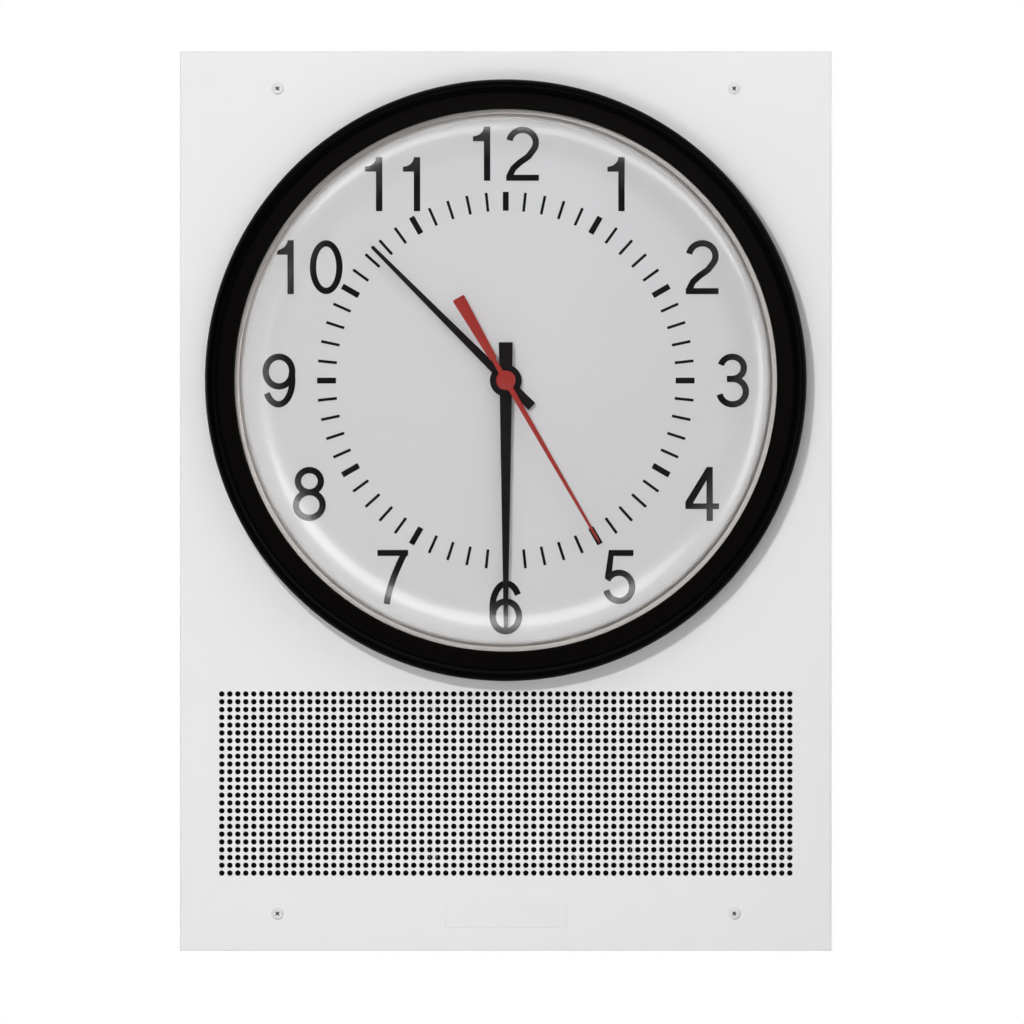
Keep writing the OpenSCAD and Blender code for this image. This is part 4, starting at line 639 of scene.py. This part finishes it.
def grilleCells():
    # One cell is a square of the pitch with a many-sided hole: the ring of the lip, the ring of the wall's
    # front and the ring of its back. The cell's points are copied to each column and row
    p = panel
    sides, quarter = 12, 3
    around = (np.arange(sides) + 0.5) * 2 * np.pi / sides
    ring = np.stack([np.cos(around), np.sin(around)], 1)
    square = -rectangle * np.array(p["pitch"]) / 2
    hole = ring * p["hole"]
    flat = np.concatenate([square, ring * (p["hole"] + p["lip"]), hole, hole, square])
    height = np.concatenate([np.full(4 + sides, panelFront), np.full(sides, panelFront - p["lip"]),
                             np.zeros(sides + 4)])
    # Corner c meets the hole's points from 3 c to 3 c + 3, and the last of them meets the next corner too
    c = np.arange(4)
    h = 4 + (quarter * c[:, None] + np.arange(quarter + 1)[None]) % sides
    front = np.concatenate([np.stack([c, h[:, k], h[:, k + 1]], 1) for k in range(quarter)]
                           + [np.stack([c, h[:, quarter], (c + 1) % 4], 1)])
    back = np.where(front < 4, front + 4 + 3 * sides, front + 2 * sides)
    rings = quadGrid(3, sides) + 4
    columns = (np.arange(p["columns"]) - (p["columns"] - 1) / 2) * p["pitch"][0]
    rows = (np.arange(p["rows"]) - (p["rows"] - 1) / 2) * p["pitch"][1] - p["grilleDown"]
    points = inRoom(flat[:, 0] + columns[:, None, None], height, flat[:, 1] + rows[None, :, None])
    offset = (np.arange(len(columns) * len(rows)) * len(flat))[:, None, None]
    return points, [(front + offset).reshape(-1, 3), (rings + offset).reshape(-1, 4),
                    (back + offset).reshape(-1, 3)]


addPiece("facePanel", makePanel(), "panel_paint", ["face_panel"], "panel_paint", sharp=35)
print("panel made")

screw = {
    "headRadius": 3.4, "headRise": 2.4, "headEdge": 0.4, "headRound": 0.15, "neck": 1.7, "shank": 2.0,
    "around": 48, "reach": 14.0, "pitch": 0.7, "thread": 0.24, "rowsPerPitch": 6,
    "tip": 0.6, "tipShare": 0.6,
    # the cross: its two bars, and how wide the slopes at their sides and at their ends are
    "crossWidth": 0.5, "crossReach": 1.3, "crossDepth": 1.3, "crossSide": 0.12, "crossEnd": 0.35,
    "crossTurn": 45,
    # the head's rows: close together up to a share of its radius, then at equal steps of an angle
    "fineTo": 0.62, "fineRows": 18, "coarseFrom": 42, "coarseRows": 9,
}


def panScrew(x0, z0):
    # Rows run from the head's middle over its rounded top and rim, under it to the neck and along the
    # shank. The cross sinks the top where a point lies in one of two crossed bars, and the shank's
    # radius follows a triangle wave that climbs one pitch a turn
    s = screw
    a = np.arange(s["around"]) * 2 * np.pi / s["around"]
    fine = np.linspace(0, s["fineTo"], s["fineRows"])
    coarse = np.sin(np.radians(np.linspace(s["coarseFrom"], 90, s["coarseRows"])))
    share = np.concatenate([fine, coarse[1:]])
    dome = s["headEdge"] + (1 - s["headEdge"]) * np.sqrt(np.maximum(0, 1 - share ** 2))
    top = np.stack([share * s["headRadius"], panelFront + s["headRise"] * dome], 1)
    rim = np.array([[s["headRadius"], panelFront + s["headRound"]],
                    [s["headRadius"] - s["headRound"], panelFront],
                    [s["neck"], panelFront], [s["neck"], 0.0]])
    run = np.arange(0, s["reach"] - s["tip"], s["pitch"] / s["rowsPerPitch"])
    shank = np.stack([np.full(len(run), s["shank"]), -run], 1)
    tip = np.array([[s["shank"] * s["tipShare"], -s["reach"]], [0.0, -s["reach"]]])
    rows = np.concatenate([top, rim, shank, tip])
    r = np.repeat(rows[:, :1], s["around"], 1)
    h = np.repeat(rows[:, 1:], s["around"], 1)
    threaded = slice(len(top) + len(rim), len(top) + len(rim) + len(run))
    phase = (h[threaded] / s["pitch"] - a / (2 * np.pi)) % 1
    r[threaded] -= s["thread"] * abs(2 * phase - 1)
    turn = np.radians(s["crossTurn"])
    u = r * np.cos(a - turn)
    v = r * np.sin(a - turn)

    def inBar(across, along):
        width = np.clip((s["crossWidth"] / 2 + s["crossSide"] - abs(across)) / s["crossSide"], 0, 1)
        return width * np.clip((s["crossReach"] - abs(along)) / s["crossEnd"], 0, 1)

    sunk = np.maximum(inBar(u, v), inBar(v, u))
    onHead = slice(0, len(top))
    h[onHead] -= s["crossDepth"] * sunk[onHead]
    return inRoom(x0 + r * np.cos(a), h, z0 + r * np.sin(a)), [quadGrid(len(rows), s["around"])]


screwShape = joined([panScrew(x, z) for x, z in screwPlaces()])
addPiece("panelScrews", screwShape, "screw_paint_and_shade", ["panel_screws"], "panel_paint", sharp=40)

head = {
    "steps": 256, "outer": 169.5, "wall": 2.4, "skirt": 1.8, "bevel": 0.3,
    "roll": 6.5, "rollHeight": 15.6, "rollTurn": 84, "bead": 0.5, "beadDrop": 0.55,
    "groove": (161.8, 163.0, 21.3), "grooveBevel": 0.2,
    "band": 22.5, "bandRound": 0.4, "bandDrop": 2.2, "bandSwell": 0.12,
    "opening": 152.85, "edge": 1.5, "edgeTurn": 100, "lip": 9.6, "lipUnder": 3.4, "rollUnder": 0.9,
    "boss": 3.6, "bossLow": 4.5, "bossDrop": 3.0, "bossSteps": 32,
}


def bezelProfile():
    # From the skirt up over the roll and the bead at the groove's rim, through the groove, over the sloping
    # band and the opening's rounded edge down to the lip, and back along the underside
    b = head
    rollR, rollH = b["outer"] - b["roll"], b["rollHeight"]
    inner, outer, bottom = b["groove"]
    bevel, ease, bead, curl, edge = b["bevel"], b["grooveBevel"], b["bead"], b["bandRound"], b["edge"]
    low, inside, underR = b["band"] - b["bandDrop"], b["opening"] + b["wall"], b["roll"] - b["wall"]
    return np.concatenate([
        [[b["outer"] - b["wall"], b["skirt"]], [b["outer"] - bevel, b["skirt"]],
         [b["outer"], b["skirt"] + bevel]],
        arc(rollR, rollH, b["roll"], b["roll"], 0, b["rollTurn"], steps=20),
        arc(rollR + bead, rollH + b["roll"] - b["beadDrop"], bead, bead, 90, 180, steps=4),
        [[outer, bottom + ease], [outer - ease, bottom], [inner + ease, bottom], [inner, bottom + ease]],
        arc(inner - curl, b["band"] - curl, curl, curl, 0, b["edgeTurn"], steps=5),
        [[b["opening"] + edge + curl, low + b["bandSwell"]]],
        arc(b["opening"] + edge, low - edge, edge, edge, b["edgeTurn"], 180, steps=8),
        [[b["opening"], b["lip"]], [inside, b["lip"]], [inside, low - b["lipUnder"]],
         [rollR, b["band"] - b["wall"] - b["rollUnder"]]],
        arc(rollR, rollH, underR, underR, 90, 0, steps=10)])


def bossProfile():
    # A cylinder that a screw goes into, from above the flange to just under the band
    low, high = head["bossLow"], head["band"] - head["bossDrop"]
    return np.array([[0.0, low], [head["boss"], low], [head["boss"], high], [0.0, high]])


bezelShape = joined([turned(bezelProfile(), head["steps"])] + [
    turned(bossProfile(), head["bossSteps"], x, z, closed=False) for x, z in headScrewPlaces()])
addPiece("bezel", bezelShape, "bezel_black", ["clock_bezel"], "head_black", sharp=34)

lens = {
    "steps": 256, "wallRadius": 150.5, "shoulder": 22.0, "rise": 13.0, "dome": 2.0, "base": 9.6,
    "thick": 1.4, "rim": 157.4, "rimBevel": 0.2, "domeRows": 24, "shoulderRows": 36,
}


def lensSurface(wallRadius, shoulder, rise):
    # From the middle out: a shallow parabola, then a quarter ellipse that starts where the slopes meet.
    # That place is found by turns: the slope at a first guess gives the next
    centre, join = wallRadius - shoulder, wallRadius - shoulder
    for _ in range(6):
        angle = np.arctan(rise * join / (2 * lens["dome"] * shoulder))
        join = centre + shoulder * np.cos(angle)
    top = lens["base"] + rise * np.sin(angle)
    r = np.linspace(0, join, lens["domeRows"] + 1)[:-1]
    dome = np.stack([r, top + lens["dome"] * (1 - (r / join) ** 2)], 1)
    side = arc(centre, lens["base"], shoulder, rise, np.degrees(angle), 0, lens["shoulderRows"])
    return np.concatenate([dome, side])


def lensProfile():
    # The outer surface from its middle, the rim, and the inner surface back to its middle
    n = lens
    thick, low = n["thick"], n["base"] - n["thick"]
    inner = lensSurface(n["wallRadius"] - thick, n["shoulder"] - thick, n["rise"] - thick)
    return np.concatenate([
        lensSurface(n["wallRadius"], n["shoulder"], n["rise"]),
        [[n["rim"] - n["rimBevel"], n["base"]], [n["rim"], n["base"] - n["rimBevel"]], [n["rim"], low],
         [n["wallRadius"] - thick, low]],
        inner[::-1]])


lensShape = turned(lensProfile(), lens["steps"], closed=False)
addPiece("clearLens", lensShape, "lens_clear", ["lens"], "clear", sharp=40)

case = {
    "steps": 256, "outer": 156.0, "inner": 153.5, "back": -26.5, "floor": 2.5, "rim": 7.0,
    "corner": 3.0, "innerCorner": 1.5, "ledge": (148.5, 3.7, 1.5), "ledgeSlope": 2.5,
}


def caseProfile():
    # The outside from the back's middle to the rim, and the inside with the dial's ledge back to the floor
    c = case
    ledgeR, ledgeH, ledgeT = c["ledge"]
    corner, curl, floorH = c["corner"], c["innerCorner"], c["back"] + c["floor"]
    return np.concatenate([
        [[0.0, c["back"]]],
        arc(c["outer"] - corner, c["back"] + corner, corner, corner, -90, 0, steps=8),
        [[c["outer"], c["rim"]], [c["inner"], c["rim"]], [c["inner"], ledgeH], [ledgeR, ledgeH],
         [ledgeR, ledgeH - ledgeT], [c["inner"], ledgeH - ledgeT - c["ledgeSlope"]]],
        arc(c["inner"] - curl, floorH + curl, curl, curl, 0, -90, steps=4),
        [[0.0, floorH]]])


caseShape = turned(caseProfile(), case["steps"], closed=False)
addPiece("caseTray", caseShape, "case_black", ["clock_case"], "case_black", sharp=40)
print("clock head made")

handThick = 0.8
edgePoints = 5      # round each of a hand's four long edges
hands = {
    # outline: distance from the axis and half width. collar: inner and outer radius and its front's height.
    # button: its radius and rise
    "hour": {"back": 8.3, "turn": -315.0, "edge": 0.22, "boss": 9.0,
             "outline": [[-20.8, 0], [-20.8, 2.5], [-20.68, 2.72], [-20.4, 2.8], [0, 2.55], [106.0, 1.0],
                         [106.38, 0.92], [106.7, 0.7], [106.92, 0.38], [107.0, 0]],
             "collar": (3.0, 4.5, 9.9)},
    "minute": {"back": 10.4, "turn": -180.0, "edge": 0.22, "boss": 0.0,
               "outline": [[-21.5, 0], [-21.5, 3.65], [-21.38, 3.87], [-21.1, 3.95], [140.7, 1.16],
                           [140.9, 1.1], [141.0, 0.9], [141.0, 0]],
               "collar": (1.8, 3.1, 12.0)},
    "second": {"back": 12.5, "turn": -150.0, "edge": 0.38, "boss": 5.5,
               "outline": [[-53.7, 0], [-53.7, 3.1], [-53.55, 3.45], [-53.2, 3.64], [-14.1, 2.1],
                           [-13.3, 1.25], [0, 1.6], [102.8, 0.7], [106.8, 0]],
               "button": (5.2, 0.8)},
}


def carriedBar(hand):
    # A rounded rectangle carried along the hand: at distance s from the axis its half width is the
    # outline's, or the boss's circle where that is wider. The whole is turned clockwise by the hand's angle
    s, w = np.array(hand["outline"]).T
    boss = hand["boss"]
    if boss:
        onBoss = -boss * np.cos(np.radians(np.arange(0, 181, 5)))
        beyond = np.linspace(boss + 0.05, boss + 2, 3)    # rows that keep the corner beside the boss sharp
        keep = (s[1:-1] < -boss) | (s[1:-1] > boss)
        middle = np.concatenate([s[1:-1][keep], onBoss, beyond])
        middle.sort()
        width = np.interp(middle, s[1:-1], w[1:-1])
        width = np.maximum(width, np.sqrt(np.maximum(0, boss ** 2 - middle ** 2)))
        s, w = np.concatenate([s[:1], middle, s[-1:]]), np.concatenate([w[:1], width, w[-1:]])
    corner = np.radians(np.concatenate([np.linspace(0, 90, edgePoints) + q for q in (0, 90, 180, 270)]))
    e = np.minimum(hand["edge"], w)[:, None]
    across = np.repeat([1, -1, -1, 1], edgePoints) * (w[:, None] - e) + e * np.cos(corner)
    level = np.repeat([1, 1, -1, -1], edgePoints) * (handThick / 2 - e) + e * np.sin(corner)
    angle = np.radians(hand["turn"])
    x = across * np.cos(angle) - s[:, None] * np.sin(angle)
    z = across * np.sin(angle) + s[:, None] * np.cos(angle)
    return inRoom(x, hand["back"] + handThick / 2 + level, clockUp + z), [quadGrid(len(s), len(corner))]


def collarProfile(inner, outer, low, high, edge=0.2):
    # The section of a ring whose outer front edge is rounded
    rounded = arc(outer - edge, high - edge, edge, edge, 0, 90, steps=4)
    return np.concatenate([[[inner, low], [outer, low]], rounded, [[inner, high]]])


def makeHand(name, look):
    # The bar, and in front of it the collar that grips the arbor or a smooth button over the rod's end.
    hand = hands[name]
    front = hand["back"] + handThick
    if "collar" in hand:
        inner, outer, high = hand["collar"]
        middle = turned(collarProfile(inner, outer, front, high), 48)
    else:
        radius, rise = hand["button"]
        button = np.concatenate([[[0.0, front]], arc(0, front, radius, rise, 0, 90, steps=14)])
        middle = turned(button, 64, closed=False)
    shape = joined([carriedBar(hand), middle])
    addPiece(name + "Hand", shape, look, [name + "_hand"], look, body=name, sharp=38)


makeHand("hour", "hand_black")
makeHand("minute", "hand_black")
makeHand("second", "hand_red")
print("hands made")

speaker = {
    "down": -159.6, "steps": 128,
    "spider": {"from": 10.05, "to": 27.0, "outer": 29.5, "back": -15.5, "rise": 0.9, "thick": 0.5,
               "waves": 3, "rowsPerWave": 24, "pressed": 0.2},
    "surround": {"inner": 37.5, "roll": 2.0, "middle": 41.3, "outer": 45.6, "back": -3.6, "thick": 0.4,
                 "rise": 1.6, "steps": 12},
}


def aboutSpeaker(profile):
    return turned(profile, speaker["steps"], 0.0, speaker["down"])


def spiderProfile():
    # A cloth disc whose height follows whole cosine waves from its inner edge to its flat border
    s = speaker["spider"]
    r = np.linspace(s["from"], s["to"], s["rowsPerWave"] * s["waves"] + 1)
    turns = (r - s["from"]) / (s["to"] - s["from"]) * s["waves"]
    under = np.stack([r, s["back"] + s["rise"] * (1 - np.cos(2 * np.pi * turns)) / 2], 1)
    border = np.array([[s["outer"], s["back"] + s["thick"]], [s["outer"], s["back"]]])
    return np.concatenate([under + [0, s["thick"]], border, under[::-1]])


def surroundProfiles():
    # A half roll between two flat lands, cut at its crest into an inner and an outer part
    s = speaker["surround"]
    low, high = s["back"], s["back"] + s["thick"]

    def roll(height, radius, start, end):
        return arc(s["middle"], height, radius, s["rise"], start, end, s["steps"])

    small = s["roll"] - s["thick"]
    inner = np.concatenate([[[s["inner"], high]], roll(high, s["roll"], 180, 90), roll(low, small, 90, 180),
                            [[s["inner"], low]]])
    outer = np.concatenate([roll(high, s["roll"], 90, 0), [[s["outer"], high], [s["outer"], low]],
                            roll(low, small, 0, 90)])
    return inner, outer


spiderShape = aboutSpeaker(spiderProfile())
spider = addPiece("spider", spiderShape, "woven_cloth", ["speaker_spider"], "woven", sharp=60)
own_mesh(spider)
rollInner, rollOuter = surroundProfiles()
rubber = "black_rubber", ["speaker_surround"], "black_rubber"
addPiece("surroundOuter", aboutSpeaker(rollOuter), *rubber, sharp=60)
rolling = addPiece("surroundInner", aboutSpeaker(rollInner), *rubber, body=None, sharp=60)
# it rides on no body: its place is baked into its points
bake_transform(rolling)
print("speaker's cloth and rubber made")

screen = {
    "size": (331.44, 111.6), "down": -159.6, "thick": 0.4,
    # what passes the cloth: (x, how far above the panel's middle, span across, span up, radius)
    "studs": (0.0, -159.6, 82.0, 82.0, 2.4), "collars": (116.0, -160.0, 84.0, 76.0, 4.0), "holeSteps": 24,
}


def dustScreen():
    # Two flat faces with the same outlines, joined by straight walls at the edge and round each hole
    n = screen
    outlines = [rectangle * np.array(n["size"]) / 2 + [0, n["down"]]]
    for x, z, across, up, r in (n["studs"], n["collars"]):
        outlines += [circlePoints(x + sx * across / 2, z + sz * up / 2, r, n["holeSteps"])
                     for sx, sz in fourCorners]
    flat, faces = flatFill(outlines, lambda c: clearOf(outlines[1:], c))
    parts = [(inRoom(flat[:, 0], h, flat[:, 1]), [faces]) for h in (0.0, -n["thick"])]
    return joined(parts + [wall(line, (0.0, -n["thick"])) for line in outlines])


cloth = addPiece("dustScreen", dustScreen(), "black_gauze", ["dust_screen"], "gauze")

leads = {
    "around": 20, "steps": 6, "deepest": -35.4,
    "firstSide": (0.3, 0.2, 1.0),    # any way but that of a lead's start
    # points to the right of the panel's middle, above it and in front of the wall
    "clock": {"radius": 1.8, "look": "lead_white", "slot": "white_moulding", "route": [
        [126, -115.6, -16.6], [126, -108, -16.6], [126, -100, -16.6], [125.5, -86, -16.6], [124, -72, -17],
        [121, -58, -20], [117, -45, -25.5], [112, -33, -29.5], [106, -21, -31.2], [98, -8, -31.6],
        [89, 7, -31.8], [80, 22, -32], [71, 37, -32.4], [63, 51, -33.6], [57, 62, -35], [53.6, 71, -35.4],
        [52.2, 77, -33.6], [52, 80, -30], [52, 80, -26], [52, 80, -22], [50.5, 78, -19.7], [46, 73, -19.2],
        [38, 64, -19.2], [28, 54, -19.2], [20, 46, -19.2], [15, 42.6, -19.2], [11, 42, -19.2],
        [7, 42, -19.2]]},
    "speaker": {"radius": 1.4, "look": "black_rubber", "slot": "black_rubber", "route": [
        [73, -150, -16.6], [69, -150, -16.6], [64, -150, -16.6], [58, -150.6, -16.8], [52, -152.2, -17.4],
        [47, -154.4, -18], [43, -155.6, -18.4], [38, -155.6, -18.4]]},
}


def smoothPath(points, steps):
    # A cubic through each two neighbours whose slopes follow the points on either side of them
    ends = 2 * points[[0, -1]] - points[[1, -2]]
    p = np.concatenate([ends[:1], points, ends[1:]])
    a, b, c, d = (p[k:len(p) - 3 + k, None] for k in range(4))
    t = (np.arange(steps) / steps)[None, :, None]
    path = 2 * b + (c - a) * t + (2 * a - 5 * b + 4 * c - d) * t ** 2 + (3 * b - a - 3 * c + d) * t ** 3
    return np.concatenate([(path / 2).reshape(-1, 3), points[-1:]])


def carriedTube(path, radius):
    # A circle carried along the path: centre + radius (side cos a + up sin a), where side is brought along
    # from point to point so that the tube doesn't twist. Both ends close in a point
    ahead = np.gradient(path, axis=0)
    ahead /= np.linalg.norm(ahead, axis=1)[:, None]
    side = [np.array(leads["firstSide"])]
    for tangent in ahead:
        across = side[-1] - side[-1] @ tangent * tangent
        side.append(across / np.linalg.norm(across))
    side = np.array(side[1:])
    up = np.cross(ahead, side)
    a = np.arange(leads["around"]) * 2 * np.pi / leads["around"]
    ring = side[:, None] * np.cos(a)[None, :, None] + up[:, None] * np.sin(a)[None, :, None]
    rows = np.concatenate([path[:1, None] + 0 * ring[:1], path[:, None] + radius * ring,
                           path[-1:, None] + 0 * ring[:1]])
    return inRoom(rows[..., 0], rows[..., 2], rows[..., 1]), [quadGrid(len(rows), leads["around"])]


for name in ("clock", "speaker"):
    lead = leads[name]
    path = smoothPath(np.array(lead["route"], float), leads["steps"])
    path[:, 2] = np.maximum(path[:, 2], leads["deepest"])
    addPiece(name + "Lead", carriedTube(path, lead["radius"]), lead["look"], [name + "_lead"],
             lead["slot"], sharp=60)
    print(name, "lead:", round(np.linalg.norm(np.diff(path, axis=0), axis=1).sum()), "mm")
